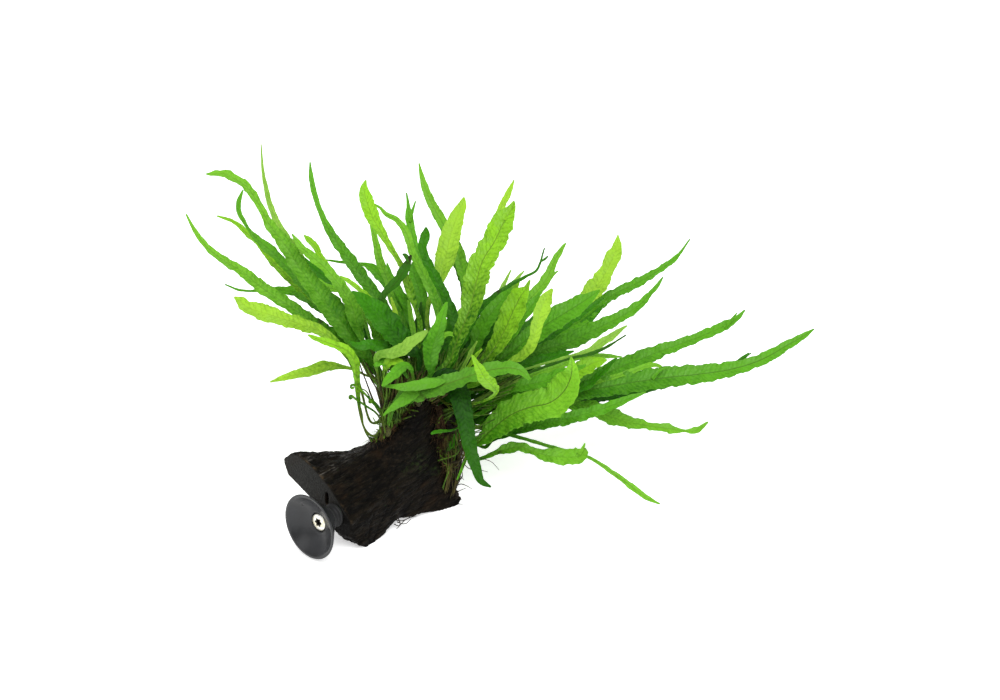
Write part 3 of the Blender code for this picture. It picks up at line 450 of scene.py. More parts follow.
class Nodes:
    """Short calls for building one material's nodes."""

    def __init__(self, name):
        self.material = bpy.data.materials.new(name)
        self.material.use_nodes = True
        self.tree = self.material.node_tree
        self.shader = self.tree.nodes["Principled BSDF"]
        self.output = self.tree.nodes["Material Output"]

    def add(self, kind, inputs=None, **settings):
        node = self.tree.nodes.new(kind)
        for key, value in settings.items():
            setattr(node, key, value)
        for key, value in (inputs or {}).items():
            self.feed(node.inputs[key], value)
        return node

    def feed(self, socket, value):
        if isinstance(value, bpy.types.NodeSocket):
            self.tree.links.new(value, socket)
        elif isinstance(value, tuple) and len(value) == 3 and socket.type == "RGBA":
            socket.default_value = (*value, 1)
        else:
            socket.default_value = value

    def shade(self, inputs):
        """Feeds the shader's inputs and gives back the material."""
        for key, value in inputs.items():
            self.feed(self.shader.inputs[key], value)
        return self.material

    def attribute(self, name):
        return self.add("ShaderNodeAttribute", attribute_name=name).outputs["Fac"]

    def math(self, operation, a, b=0.0, clamp=False):
        return self.add("ShaderNodeMath", {0: a, 1: b}, operation=operation, use_clamp=clamp).outputs[0]

    def plus(self, a, b, clamp=False):
        return self.math("ADD", a, b, clamp)

    def minus(self, a, b):
        return self.math("SUBTRACT", a, b)

    def times(self, a, b):
        return self.math("MULTIPLY", a, b)

    def step(self, value, low, high, to_low=0.0, to_high=1.0):
        """A soft step from to_low at low to to_high at high."""
        node = self.add("ShaderNodeMapRange", {"Value": value, "From Min": low, "From Max": high,
                                               "To Min": to_low, "To Max": to_high},
                        interpolation_type="SMOOTHSTEP")
        return node.outputs["Result"]

    def mix(self, share, first, second):
        """A colour that changes from the first to the second as the share grows."""
        node = self.add("ShaderNodeMix", data_type="RGBA", clamp_factor=True)
        for index, value in ((0, share), (6, first), (7, second)):
            self.feed(node.inputs[index], value)
        return node.outputs[2]

    def place(self, stretch=(1, 1, 1)):
        """The point's place in metres, stretched."""
        where = self.add("ShaderNodeTexCoord").outputs["Object"]
        return self.add("ShaderNodeMapping", {"Vector": where, "Scale": stretch}).outputs[0]

    def noise(self, scale, detail=3.0, stretch=(1, 1, 1), roughness=0.55):
        node = self.add("ShaderNodeTexNoise", {"Vector": self.place(stretch), "Scale": scale,
                                               "Detail": detail, "Roughness": roughness})
        return node.outputs["Fac"]

    def cells(self, scale):
        """How far the point is from the middle of its cell."""
        node = self.add("ShaderNodeTexVoronoi", {"Vector": self.place(), "Scale": scale}, feature="F1")
        return node.outputs[0]

    def bump(self, height, distance, strength):
        return self.add("ShaderNodeBump", {"Height": height, "Distance": distance,
                                           "Strength": strength}).outputs[0]


def vein_gaps(n, signed, offset, along):
    """How far a point is from the slanting veins: 0 on one, 1 between two."""
    place = n.math("DIVIDE", n.minus(along, n.times(offset, VEIN_SLANT)), VEIN_PITCH / MM)
    place = n.plus(place, n.times(n.noise(200, 3.0), 2.2))
    place = n.plus(place, n.step(signed, -0.05, 0.05, 0.0, 0.37))
    return n.step(n.math("PINGPONG", place, 0.5), 0.03, 0.3)


def leaf_tone(n, signed, along, share, gaps):
    """How bright the green is: brighter to the tip, the darker base partly its own colour and partly
    painted shade of the crown; streaked, clouded and mottled.
    """
    broad = n.noise(60, 3.0)
    across = n.add("ShaderNodeCombineXYZ", {0: n.times(signed, 1.1), 1: n.times(along, 0.07),
                                            2: n.times(broad, 12.0)}).outputs[0]
    streaks = n.add("ShaderNodeTexNoise", {"Vector": across, "Scale": 1.0, "Detail": 4.0,
                                           "Roughness": 0.65}).outputs["Fac"]
    # Painted shade in part: the green darkens towards the base, where the crown shades it.
    tone = n.step(share, 0.2, 0.95)
    for pattern, strength in ((streaks, 1.1), (broad, 0.7), (n.noise(330, 3.0), 0.8)):
        tone = n.plus(tone, n.times(n.minus(pattern, 0.5), strength))
    return n.plus(tone, n.times(n.minus(gaps, 0.6), 0.2), clamp=True)


def brightened(colour, share, added):
    """A share of a colour with light added to it, less to a dark colour."""
    strength = min(1.0, 2.2 * colour[1])
    return tuple(share * c + strength * a for c, a in zip(colour, added))


def leaf_material(name):
    """A thin green blade: darker at its base, partly its own colour and partly painted shade of the crown;
    a fine rib, slanting veins, painted sheen and painted highlights on its blisters, and light through it.
    """
    paint = PAINTS[name]
    n = Nodes("tissue_" + name)
    signed = n.attribute("offset")
    offset = n.math("ABSOLUTE", signed)
    along = n.attribute("along")
    share = n.attribute("share")
    gaps = vein_gaps(n, signed, offset, along)
    bumps = n.step(n.cells(620.0), 0.1, 0.75, 1.0, 0.0)
    green = n.mix(leaf_tone(n, signed, along, share, gaps), paint.base, paint.tip)
    # Painted sheen: one half of each blade takes a paler colour, as where light reflects off the tilted
    # blade, and less of it low down.
    paler_half = n.step(signed, -0.5, 0.5, 1.0, 0.0)
    sheen = n.times(paler_half, n.step(n.noise(75, 2.0), 0.38, 0.62))
    sheen = n.times(sheen, n.step(share, 0.15, 0.55, 0.35, 1.0))
    sheen_colour = brightened(paint.tip, 0.6, (0.06, 0.13, 0.03))
    green = n.mix(n.times(sheen, 0.42), green, sheen_colour)
    # Painted highlights: pale dashes on the blister tops between the veins, most of them on the paler
    # half.
    painted_blister_glints = n.times(n.times(gaps, bumps), n.attribute("blister"))
    painted_blister_glints = n.times(painted_blister_glints, n.plus(n.times(sheen, 0.8), 0.2))
    green = n.mix(n.times(painted_blister_glints, 0.45), green, brightened(paint.tip, 0.7, (0.12, 0.18, 0.08)))
    # Painted sheen along the margins.
    green = n.mix(n.times(n.step(n.attribute("edge"), 0.92, 1.0), 0.3), green, sheen_colour)
    rib = n.times(n.step(offset, 0.12, 0.4, 1.0, 0.0), n.step(share, 0.85, 1.0, 1.0, 0.3))
    green = n.mix(n.times(rib, n.attribute("rib")), green, paint.rib)
    spots = n.times(n.step(n.noise(420, 2.0), 0.7, 0.78, 0.0, 0.75), n.step(n.noise(38, 1.0), 0.6, 0.7))
    scorched = n.math("MAXIMUM", spots, n.attribute("scorch"))
    green = n.mix(scorched, green, (0.028, 0.02, 0.008))
    stalk = n.step(n.attribute("stalk"), 0.2, 0.9)
    stalk_colour = n.mix(n.noise(150, 2.0), (0.045, 0.05, 0.008), (0.1, 0.13, 0.018))
    colour = n.mix(n.times(stalk, 0.8), green, stalk_colour)
    height = n.plus(n.times(gaps, 0.6), n.times(bumps, 0.6))
    height = n.plus(height, n.times(n.noise(1700, 3.0), 0.5))
    normal = n.bump(height, 0.2 * MM, 0.8)
    n.shade({"Base Color": colour, "Roughness": n.step(n.noise(600, 2.0), 0.3, 0.7, 0.3, 0.48),
             "Specular IOR Level": 0.1, "Normal": normal})
    lit = n.mix(0.4, colour, tuple(min(1.0, 1.3 * c) for c in paint.tip))
    through = n.add("ShaderNodeBsdfTranslucent", {"Color": lit, "Normal": normal})
    both = n.add("ShaderNodeMixShader", {0: 0.25, 1: n.shader.outputs[0], 2: through.outputs[0]})
    n.feed(n.output.inputs["Surface"], both.outputs[0])
    return n.material


def leaf_paint(name):
    """The paint's material, made once."""
    return bpy.data.materials.get("tissue_" + name) or leaf_material(name)


def wood_material():
    """Soaked driftwood: nearly black, with painted highlights on its ridges, painted shade in its furrows
    and on the saw cut's lower part, grey on the saw cut, a little moss.
    """
    n = Nodes("soaked_wood")
    streak = n.noise(170, 5.0, (0.16, 1, 1), 0.65)
    fine = n.noise(900, 4.0, (0.14, 1, 1), 0.6)
    broad = n.noise(45, 3.0)
    relief = n.attribute("relief")
    colour = n.mix(n.step(streak, 0.4, 0.7), (0.0011, 0.0009, 0.0006), (0.0075, 0.0055, 0.003))
    # Painted highlight: the wood is paler on its raised ridges, where light catches them.
    painted_ridge_highlight = n.times(n.step(relief, 0.05, 0.9), n.step(fine, 0.42, 0.7))
    colour = n.mix(n.times(painted_ridge_highlight, 0.75), colour, (0.028, 0.021, 0.013))
    rust = n.times(n.step(broad, 0.5, 0.66), n.step(streak, 0.42, 0.62))
    colour = n.mix(n.times(rust, 0.45), colour, (0.022, 0.01, 0.0035))
    grain = n.step(n.noise(1300, 4.0, (0.12, 1, 1), 0.7), 0.5, 0.64)
    colour = n.mix(n.times(grain, 0.4), colour, (0.03, 0.022, 0.013))
    # Painted shade: nearly black deep in the furrows and cracks.
    colour = n.mix(n.step(relief, -0.9, -0.15, 0.9, 0.0), colour, (0.0015, 0.0012, 0.001))
    # Painted highlights: pale glints in fine streaks along the top edge, only on sides that face the
    # camera.
    glint_streaks = n.step(n.noise(1500, 4.0, (0.07, 1, 1), 0.6), 0.5, 0.66)
    silver = n.times(n.attribute("silver"), glint_streaks)
    colour = n.mix(n.times(silver, 0.6), colour, (0.13, 0.12, 0.105))
    moss = n.times(n.attribute("moss"), n.step(n.noise(500, 3.0), 0.45, 0.65))
    colour = n.mix(n.times(moss, 0.7), colour, (0.02, 0.033, 0.008))
    grey = n.mix(n.noise(900, 4.0), (0.009, 0.009, 0.0082), (0.034, 0.034, 0.0305))
    grey = n.mix(n.times(n.step(broad, 0.5, 0.7), 0.5), grey, (0.02, 0.015, 0.011))
    # Painted shade: the saw cut darkens towards its foot, behind the cup.
    grey = n.mix(n.times(n.attribute("low"), 0.85), grey, (0.002, 0.0015, 0.0012))
    colour = n.mix(n.attribute("sawn"), colour, grey)
    worn = n.times(n.attribute("rim"), n.step(n.noise(260, 4.0), 0.46, 0.66))
    colour = n.mix(n.times(worn, 0.55), colour, (0.07, 0.047, 0.025))
    height = n.plus(fine, n.times(n.noise(2500, 3.0), 0.6))
    return n.shade({"Base Color": colour, "Roughness": n.step(fine, 0.3, 0.7, 0.38, 0.75),
                    "Specular IOR Level": 0.06, "Normal": n.bump(height, 0.6 * MM, 1.0)})


def rubber_material():
    """Black moulded rubber, smooth, with dull dusty patches and painted shade on its neck."""
    n = Nodes("rubber")
    dull = n.noise(70, 4.0)
    colour = n.mix(n.step(dull, 0.4, 0.7), (0.008, 0.0085, 0.0095), (0.0175, 0.0185, 0.021))
    colour = n.mix(n.step(n.noise(1500, 2.0), 0.7, 0.78, 0.0, 0.4), colour, (0.06, 0.06, 0.065))
    # Painted shade: the neck, in shade between the cup and the wood, is darkened.
    neck = n.attribute("neck")
    colour = n.mix(n.times(neck, 0.85), colour, (0.0015, 0.0016, 0.002))
    roughness = n.plus(n.step(dull, 0.35, 0.7, 0.26, 0.42), n.times(neck, 0.35))
    return n.shade({"Base Color": colour, "Roughness": roughness, "Specular IOR Level": 0.4,
                    "Normal": n.bump(n.noise(900, 3.0), 0.05 * MM, 0.4)})


def steel_material():
    """Pale plated steel with fine bumps, a faint yellow tarnish and painted shade in the star recess."""
    n = Nodes("plated_steel")
    stain = n.noise(350, 3.0)
    colour = n.mix(n.step(stain, 0.4, 0.65), (0.8, 0.79, 0.74), (0.72, 0.68, 0.5))
    # Painted shade: the star recess is nearly black.
    colour = n.mix(n.attribute("recess"), colour, (0.03, 0.028, 0.025))
    roughness = n.step(stain, 0.3, 0.7, 0.26, 0.42)
    return n.shade({"Base Color": colour, "Metallic": 1.0, "Roughness": roughness,
                    "Normal": n.bump(n.noise(2500, 2.0), 0.03 * MM, 0.4)})


def stem_material():
    """The creeping stem: green-brown with dark scales."""
    n = Nodes("scaly_stem")
    scales = n.cells(800.0)
    colour = n.mix(n.noise(120, 3.0), (0.02, 0.022, 0.007), (0.075, 0.08, 0.016))
    colour = n.mix(n.step(scales, 0.15, 0.5, 0.85, 0.0), colour, (0.016, 0.009, 0.004))
    return n.shade({"Base Color": colour, "Roughness": n.step(scales, 0.1, 0.6, 0.55, 0.75),
                    "Specular IOR Level": 0.25, "Normal": n.bump(scales, 0.3 * MM, 0.8)})


def strand_material(name, dark, light):
    """Roots or thin stalks, uneven between two colours."""
    n = Nodes(name)
    colour = n.mix(n.step(n.noise(220, 3.0), 0.3, 0.7), dark, light)
    return n.shade({"Base Color": colour, "Roughness": n.step(n.noise(900, 2.0), 0.3, 0.7, 0.55, 0.8),
                    "Specular IOR Level": 0.2, "Normal": n.bump(n.noise(3000, 2.0), 0.08 * MM, 0.6)})


def wander(along, pitch, rng):
    """A smooth uneven wave between about -1 and 1."""
    total = np.zeros_like(along)
    for share, speed in ((0.55, 1.0), (0.3, 1.73), (0.2, 2.91)):
        turns = along / pitch * speed * rng.uniform(0.85, 1.15)
        total += share * np.sin(2 * math.pi * (turns + rng.random()))
    return total


def blade_axes(line):
    """The side and upper directions along a frond, turning without jumps, and the share shown."""
    ahead = unit(np.gradient(line[:, :3], axis=0))
    facing = unit(np.cross(ahead, np.array(VIEW_BACK)))
    level = unit(np.cross(ahead, (0.0, 0.0, 1.0)))
    level *= np.where((facing * level).sum(axis=1) < 0, -1, 1)[:, None]
    side = unit(facing * (1 - NATURAL_TURN) + level * NATURAL_TURN)
    for i in range(1, len(side)):
        if side[i] @ side[i - 1] < 0:
            side[i] = -side[i]
    reach = min(6, len(side) // 3)
    padded = np.pad(side, ((reach, reach), (0, 0)), mode="edge")
    side = np.array([padded[i:i + 2 * reach + 1].mean(axis=0) for i in range(len(side))])
    side = unit(side - ahead * (side * ahead).sum(axis=1)[:, None])
    upper = np.cross(side, ahead)
    if upper[:, 2].mean() < 0:
        side, upper = -side, -upper
    shown = np.clip(np.abs((side * facing).sum(axis=1)), 0.6, 1)
    return side, upper, shown


def blade_lift(along, across, offset, half, look, rng):
    """How far a blade rises off its own plane: cupped, with wavy margins and blisters."""
    bowl = look.cup * (0.7 + 0.5 * wander(along, 45 * MM, rng))
    lift = (bowl * half)[:, None] * (across ** 2 - 0.35)[None, :]
    wave_size = np.minimum(look.waves * half * 1.6, LONGEST_WAVE)
    for sign in (-1, 1):
        wave = wave_size * wander(along, rng.uniform(9, 13) * MM, rng)
        at_edge = np.clip(sign * across, 0, 1) ** 1.5
        lift += wave[:, None] * at_edge[None, :]
    fine = np.abs(across)
    drift = np.where(across[None, :] < 0, wander(along, 17 * MM, rng)[:, None],
                     wander(along, 13 * MM, rng)[:, None] + 1.3)
    vein_angle = 2 * math.pi * (along[:, None] - VEIN_SLANT * np.abs(offset)) / VEIN_PITCH
    blister = np.cos(vein_angle + 2.2 * drift)
    blister *= np.clip(0.6 + 0.8 * wander(along, 15 * MM, rng), 0.1, 1.2)[:, None]
    size = BLISTER_HEIGHT * look.blisters * np.clip(half / (3 * MM), 0.2, 1.3)
    lift += size[:, None] * (4 * fine * (1 - fine))[None, :] * blister
    return lift


def round_shell(on_top, below):
    """Values on the upper side and back along the lower one; the two edges are shared."""
    return np.concatenate((on_top, below[:, 1:-1][:, ::-1]), axis=1)


def shell_rings(middle, upper, top, low):
    """Rings of places round a thin shell that lies from low to top off its middle."""
    upper_side = middle + upper[:, None, :] * top[:, :, None]
    lower_side = middle + upper[:, None, :] * low[:, :, None]
    edge_height = (top + low)[:, [0, -1]] / 2
    for column, at in ((0, 0), (-1, 1)):
        upper_side[:, column] = middle[:, column] + upper * edge_height[:, at, None]
    return round_shell(upper_side, lower_side)


def blade_mesh(line, look, seed, stalked):
    """Vertices, faces and attributes of one blade: a closed thin shell with rib, waves and blisters."""
    rng = np.random.default_rng(seed)
    side, upper, shown = blade_axes(line)
    count = len(line)
    steps = np.linalg.norm(np.diff(line[:, :3], axis=0), axis=1)
    along = np.concatenate(([0], np.cumsum(steps)))
    share = along / along[-1]
    narrow = np.clip((STALK_WIDEST - line[:, 3] / shown) / STALK_BLEND, 0, 1)
    stalk = narrow * np.clip((STALK_SHARE - share) / 0.1, 0, 1)
    half = (np.maximum(line[:, 3], NARROWEST) + 0.6 * (1 - stalk)) * PIXEL / shown / 2
    stalk *= stalked
    leaf = 1 - stalk
    across = np.sin(np.linspace(-1, 1, BLADE_COLUMNS) * math.pi / 2)
    ragged = [1 + 0.06 * leaf * wander(along, 8 * MM, rng) + 0.05 * leaf * wander(along, 3.2 * MM, rng)
              for _ in range(2)]
    halves = np.where(across[None, :] < 0, (half * ragged[0])[:, None], (half * ragged[1])[:, None])
    offset = across[None, :] * halves
    lift = blade_lift(along, across, offset, half, look, rng)
    rib = np.exp(-(offset / RIB_HALF_WIDTH) ** 2)
    taper = np.clip((1 - share) * 4, 0.15, 1)[:, None]
    round_off = np.sqrt(np.clip(1 - across ** 2, 0, 1))[None, :] * half[:, None] * 0.95
    blade_top = lift + BLADE_HALF_THICKNESS - 0.3 * RIB_HEIGHT * rib * taper
    blade_low = lift - BLADE_HALF_THICKNESS - RIB_HEIGHT * rib * taper
    top = leaf[:, None] * blade_top + stalk[:, None] * round_off
    low = leaf[:, None] * blade_low - stalk[:, None] * round_off
    middle = line[:, None, :3] + side[:, None, :] * offset[:, :, None]
    rings = shell_rings(middle, upper, top, low)
    sides = rings.shape[1]
    to_edge = np.broadcast_to(np.abs(across), (count, BLADE_COLUMNS))
    attributes = {
        "offset": round_shell(offset / MM, offset / MM).ravel(),
        "along": np.repeat(along / MM, sides),
        "share": np.repeat(share if stalked else 0.8 + 0.2 * share, sides),
        "edge": round_shell(to_edge, to_edge).ravel(),
        "stalk": np.repeat(stalk, sides),
        "blister": np.full(count * sides, look.blisters),
        "rib": np.full(count * sides, look.rib),
    }
    return rings.reshape(-1, 3), tube_faces(count, sides), attributes


def rhizome_line(surface, name, count=40):
    """The middle of a creeping stem, as places on the wood and the wood's directions there."""
    drawn = [from_corner(*point) for point in RHIZOMES[name]]
    height = RHIZOME_RADIUS + 2 * CLEARANCE
    rough = []
    for point in smooth_route(drawn, STEM_FEET):
        foot, normal, _, _ = surface.find_nearest(Vector(point))
        rough.append((foot + normal * height, normal))
    line = smooth_route([p for p, _ in rough], count)
    directions = smooth_route([n for _, n in rough], count)
    return [(Vector(p), Vector(n).normalized()) for p, n in zip(line, directions)]


def line_for_fronds(surface, stem):
    """The stem's line, with two points for each of its fronds."""
    return rhizome_line(surface, stem, 2 * len(FRONDS[stem]) + 3)


def stalk_foot(line, index, first_point):
    """Where a stalk meets the creeping stem: on the side that looks up and to its first point."""
    middle, up = line[index]
    along = (line[min(index + 1, len(line) - 1)][0] - line[max(index - 1, 0)][0]).normalized()
    towards = (in_picture(*first_point[:2], depth_of(middle)) - middle).normalized()
    out = (towards - along * towards.dot(along)).normalized() + up * 0.6
    return middle + out.normalized() * (RHIZOME_RADIUS + 2 * CLEARANCE)


def frond_points(base, frond):
    """The points of a frond from base to tip, with the blade's width there in pixels."""
    depth = depth_of(base)
    points = [(*base, STALK_WIDTH)]
    last = None
    for x, y, width in frond.route:
        if last is None:
            first = in_picture(x, y, depth)
            depth += frond.lean * (first - base).length
        else:
            depth += frond.lean * math.hypot(x - last[0], y - last[1]) * PIXEL
        last = (x, y)
        points.append((*in_picture(x, y, depth), width))
    return points


def grow_frond(name, points, look, seed, stands_for=(), stalked=True):
    """One frond, from its points to a finished piece."""
    rough = smooth_route(points, ROUGH_STATIONS)
    count = max(LEAST_STATIONS, round(route_length(rough) / STATION_STEP))
    line = smooth_route(points, count)
    vertices, faces, attributes = blade_mesh(line, look, seed, stalked)
    attributes["scorch"] = spots_over(vertices, SCORCHED.get(name, ()))
    return add_piece(name, vertices, faces, leaf_paint(look.paint), stands_for, attributes)


def make_fronds(surface):
    """The solids' fronds; gives back their lines by name."""
    seed = SEEDS["fronds"]
    lines = {}
    for stem, fronds in FRONDS.items():
        line = line_for_fronds(surface, stem)
        for number, frond in enumerate(fronds):
            base = stalk_foot(line, 2 * number + 2, frond.route[0])
            points = frond_points(base, frond)
            grow_frond("leaf_" + frond.name, points, LOOKS[frond.name], seed, ("frond_" + frond.name,))
            lines[frond.name] = smooth_route(points, PARENT_STATIONS)
            seed += 1
    return lines


def welded(mesh):
    """The mesh as an editable shape, with its doubled corners joined."""
    shape = bmesh.new()
    shape.from_mesh(mesh)
    bmesh.ops.remove_doubles(shape, verts=shape.verts, dist=WELD_DISTANCE)
    return shape


def main_surface(thing):
    """A search tree over an object's mesh."""
    shape = welded(thing.data)
    tree = BVHTree.FromBMesh(shape)
    shape.free()
    return tree


def evaluated_mesh(thing):
    """A copy of an object's mesh with its modifiers applied."""
    depsgraph = bpy.context.evaluated_depsgraph_get()
    return bpy.data.meshes.new_from_object(thing.evaluated_get(depsgraph))


# The wood's mesh, its far end in millimetres from the foot corner, the top of the painted shade on the saw
# cut, and its moss and painted glint spots in picture pixels
WOOD_VOXEL = 0.6 * MM
WOOD_SOFTENING = 4
WOOD_END_X = 77
SAW_SHADE_TOP = 26 * MM
MOSS_SPOTS = ((419, 462, 9), (436, 470, 5), (404, 470, 4), (375, 440, 4), (446, 455, 6), (446, 425, 5))
PAINTED_GLINT_SPOTS = ((322, 475, 5), (332, 468, 5), (345, 456, 6), (357, 450, 6), (368, 444, 5), (378, 438, 4),
                (309, 459, 5), (300, 455, 3))


def make_wood():
    """The block at its CAD shape, remeshed finely and weathered along its grain."""
    rough = add_object("wood_blank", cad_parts["driftwood"].data.copy())
    shape = welded(rough.data)
    shape.to_mesh(rough.data)
    shape.free()
    remesh = rough.modifiers.new("fine", "REMESH")
    remesh.mode = "VOXEL"
    remesh.voxel_size = WOOD_VOXEL
    soften = rough.modifiers.new("soften", "SMOOTH")
    soften.factor = 0.5
    soften.iterations = WOOD_SOFTENING
    mesh = evaluated_mesh(rough)
    bpy.data.objects.remove(rough)
    weather_wood(mesh)
    return finish_piece("weathered_driftwood", mesh, wood_material(), ("driftwood",))


def vertex_rows(mesh, key):
    """The places or normals of a mesh's vertices, as rows of three numbers."""
    rows = np.empty(len(mesh.vertices) * 3)
    mesh.vertices.foreach_get(key, rows)
    return rows.reshape(-1, 3)


def wood_relief(places):
    """Furrows, cracks and lumps along the grain at each place, in millimetres."""
    relief = np.empty(len(places))
    for i, (x, y, z) in enumerate(places / MM):
        slant = z - 0.22 * x
        furrow = noise.noise(Vector((x / 24, y / 2.8, slant / 2.8)))
        crease = 1 - abs(noise.noise(Vector((x / 13 + 7, y / 4.2, slant / 4.2)))) * 2
        crack = 1 - abs(noise.noise(Vector((x / 5, y / 6 + 5, slant / 6)))) * 2
        fine = noise.noise(Vector((x / 6, y / 1.1, slant / 1.1)))
        lumps = noise.noise(Vector((x / 9, y / 7, z / 7 + 3)))
        grain = noise.noise(Vector((x / 1.6, y / 0.8, z / 0.8)))
        relief[i] = (0.55 * furrow - 1.5 * max(0.0, crease - 0.66) - 2.0 * max(0.0, crack - 0.86)
                     + 0.34 * fine + 0.7 * lumps + 0.2 * grain - 0.1)
    return relief


def weather_wood(mesh):
    """Relief along the grain, saw marks on the cut, and masks for the material."""
    mesh.update()
    places = vertex_rows(mesh, "co")
    normals = vertex_rows(mesh, "normal")
    cut_x = from_corner(SAW_CUT_X, 0, 0).x
    end_x = from_corner(WOOD_END_X, 0, 0).x
    on_cut = np.clip((-normals[:, 0] - 0.75) / 0.15, 0, 1) * (places[:, 0] < cut_x + 0.9 * MM)
    on_floor = np.clip((1.6 * MM - places[:, 2]) / (1.2 * MM), 0, 1)
    near_cut = np.clip((places[:, 0] - cut_x) / (2.5 * MM), 0, 1)
    relief = wood_relief(places)
    end_rough = 1 + 0.9 * np.clip((places[:, 0] - end_x + 4 * MM) / (4 * MM), 0, 1)
    moved = relief * ((1 - on_cut) * (1 - on_floor) * (0.25 + 0.75 * near_cut) * end_rough)
    saw = 0.05 * np.sin(places[:, 1] / MM * 3.1 + places[:, 2] / MM * 1.2) * on_cut
    places += normals * ((moved + saw) * MM)[:, None]
    places[:, 2] = np.maximum(places[:, 2], 0)
    mesh.vertices.foreach_set("co", places.ravel())
    near_edge = np.exp(-((places[:, 0] - cut_x - 0.5 * MM) / (1.1 * MM)) ** 2) * (1 - on_cut)
    seen = normals @ np.array(VIEW_BACK) > 0
    store_values(mesh, {
        "sawn": on_cut,
        "rim": near_edge * np.clip(normals[:, 2] * 2, 0, 1),
        # The relief also places the painted highlights on the ridges and the painted shade in the furrows.
        "relief": relief,
        # Painted shade on the saw cut's lower part.
        "low": np.clip((SAW_SHADE_TOP - places[:, 2]) / (8 * MM), 0, 1),
        "moss": spots_over(places, MOSS_SPOTS) * seen,
        "silver": spots_over(places, PAINTED_GLINT_SPOTS) * seen * (1 - on_cut),
    })
    mesh.update()


def ring_places(before, radii, turn=0.0):
    """A ring of places about the cup's axis, so far before the saw cut, all in millimetres."""
    places = []
    for j, radius in enumerate(radii):
        angle = 2 * math.pi * j / len(radii) + turn
        places.append(from_corner(SAW_CUT_X - before, CUP_Y + radius * math.cos(angle),
                                  CUP_Z + radius * math.sin(angle)))
    return places


# The cup's profile: how far before the saw cut, and radius, in millimetres
CUP_OUTSIDE = ((0.35, 2.5), (0.35, 5.3), (0.7, 5.8), (1.3, 6.3), (2.0, 6.5), (2.6, 6.3), (3.1, 5.6),
               (3.5, 5.25), (4.3, 5.2), (5.0, 5.3), (5.5, 6.0), (6.0, 6.6), (6.6, 6.85), (7.2, 6.7),
               (7.7, 6.9), (8.6, 7.6), (10.4, 9.4), (12.2, 11.2), (14.2, 13.1), (16.2, 15.0), (18.0, 16.7),
               (19.0, 17.6), (19.5, 17.95))
CUP_RIM = ((19.8, 18.0), (19.95, 17.9), (20.0, 17.6), (20.0, 16.9), (19.85, 16.5))
CUP_INSIDE = ((19.3, 15.9), (18.2, 14.7), (17.1, 13.3), (16.0, 11.7), (15.0, 10.0), (14.2, 8.3),
              (13.6, 6.9), (13.3, 6.0), (13.1, 5.5), (12.7, 5.15), (11.8, 5.0), (10.6, 3.6), (9.7, 2.5))
CUP_SEGMENTS = 96
CUP_NECK_END = 9.0
PROFILE_STEPS = 4

# The small moulded pip: how far before the saw cut, and how far off the cup's axis, in millimetres
PIP_PLACE = (16.2, 8.6, 8.5)
PIP_RADIUS = 0.55 * MM
PIP_FLATNESS = 0.5


def make_cup(rubber):
    """The suction cup: ribbed neck, thin flared skirt, flat rim and shallow hollow."""
    profile = smooth_profile(CUP_OUTSIDE) + list(CUP_RIM) + smooth_profile(CUP_INSIDE)
    rings = len(profile)
    vertices = []
    for before, radius in profile:
        vertices += ring_places(before, [radius] * CUP_SEGMENTS, turn=-math.pi / 2)
    before = np.array([place for place, _ in profile])
    outside = np.arange(rings) < PROFILE_STEPS * len(CUP_OUTSIDE)
    # Marks the neck for painted shade.
    neck = np.clip((CUP_NECK_END - before) / 1.5, 0, 1) * outside
    add_piece("rubber_cup", vertices, ring_faces(rings, CUP_SEGMENTS, closed=True), rubber,
              ("suction_cup",), {"neck": np.repeat(neck, CUP_SEGMENTS)})


def smooth_profile(points):
    """The profile with several points for each of its own steps."""
    fine = smooth_route([(before, radius, 0.0) for before, radius in points], PROFILE_STEPS * len(points))
    return [(before, radius) for before, radius, _ in fine]


def make_cup_mark(rubber):
    """The small moulding pip inside the cup."""
    before, aside, above = PIP_PLACE
    pip = bmesh.new()
    bmesh.ops.create_icosphere(pip, subdivisions=3, radius=PIP_RADIUS)
    pip.transform(Matrix.Diagonal((PIP_FLATNESS, 1, 1, 1)))
    pip.transform(Matrix.Translation(from_corner(SAW_CUT_X - before, CUP_Y + aside, CUP_Z + above)))
    mesh = bpy.data.meshes.new("cup_pip")
    pip.to_mesh(mesh)
    pip.free()
    finish_piece("cup_pip", mesh, rubber)


# The screw from its dished face to its point: how far before the saw cut, and radius, in millimetres
SCREW_FACE = 13.2
SCREW_PROFILE = ((13.4, 2.6), (13.38, 3.3), (SCREW_FACE, 4.05), (13.05, 4.5), (12.85, 4.72), (12.6, 4.8),
                 (12.3, 4.75), (11.0, 3.4), (9.7, 2.1), (9.4, 1.75), (0.0, 1.75), (-12.0, 1.6),
                 (-13.0, 0.3))
SCREW_SEGMENTS = 96
SCREW_SHARP_ANGLE = 38

# The star recess, in millimetres; its rings are places before the saw cut and shares of its radius
RECESS_DEPTH = 1.7
RECESS_RADIUS = 2.15
RECESS_LOBES = 6
RECESS_RINGS = ((SCREW_FACE - RECESS_DEPTH, 0.06), (SCREW_FACE - RECESS_DEPTH, 0.5),
                (SCREW_FACE - RECESS_DEPTH, 0.96), (13.28, 1.0), (13.36, 1.1))
RECESS_FLOOR_RINGS = 3


def star_radius(angle):
    """The star recess's outline, with six round lobes."""
    return RECESS_RADIUS * (1 + 0.17 * math.cos(RECESS_LOBES * angle))


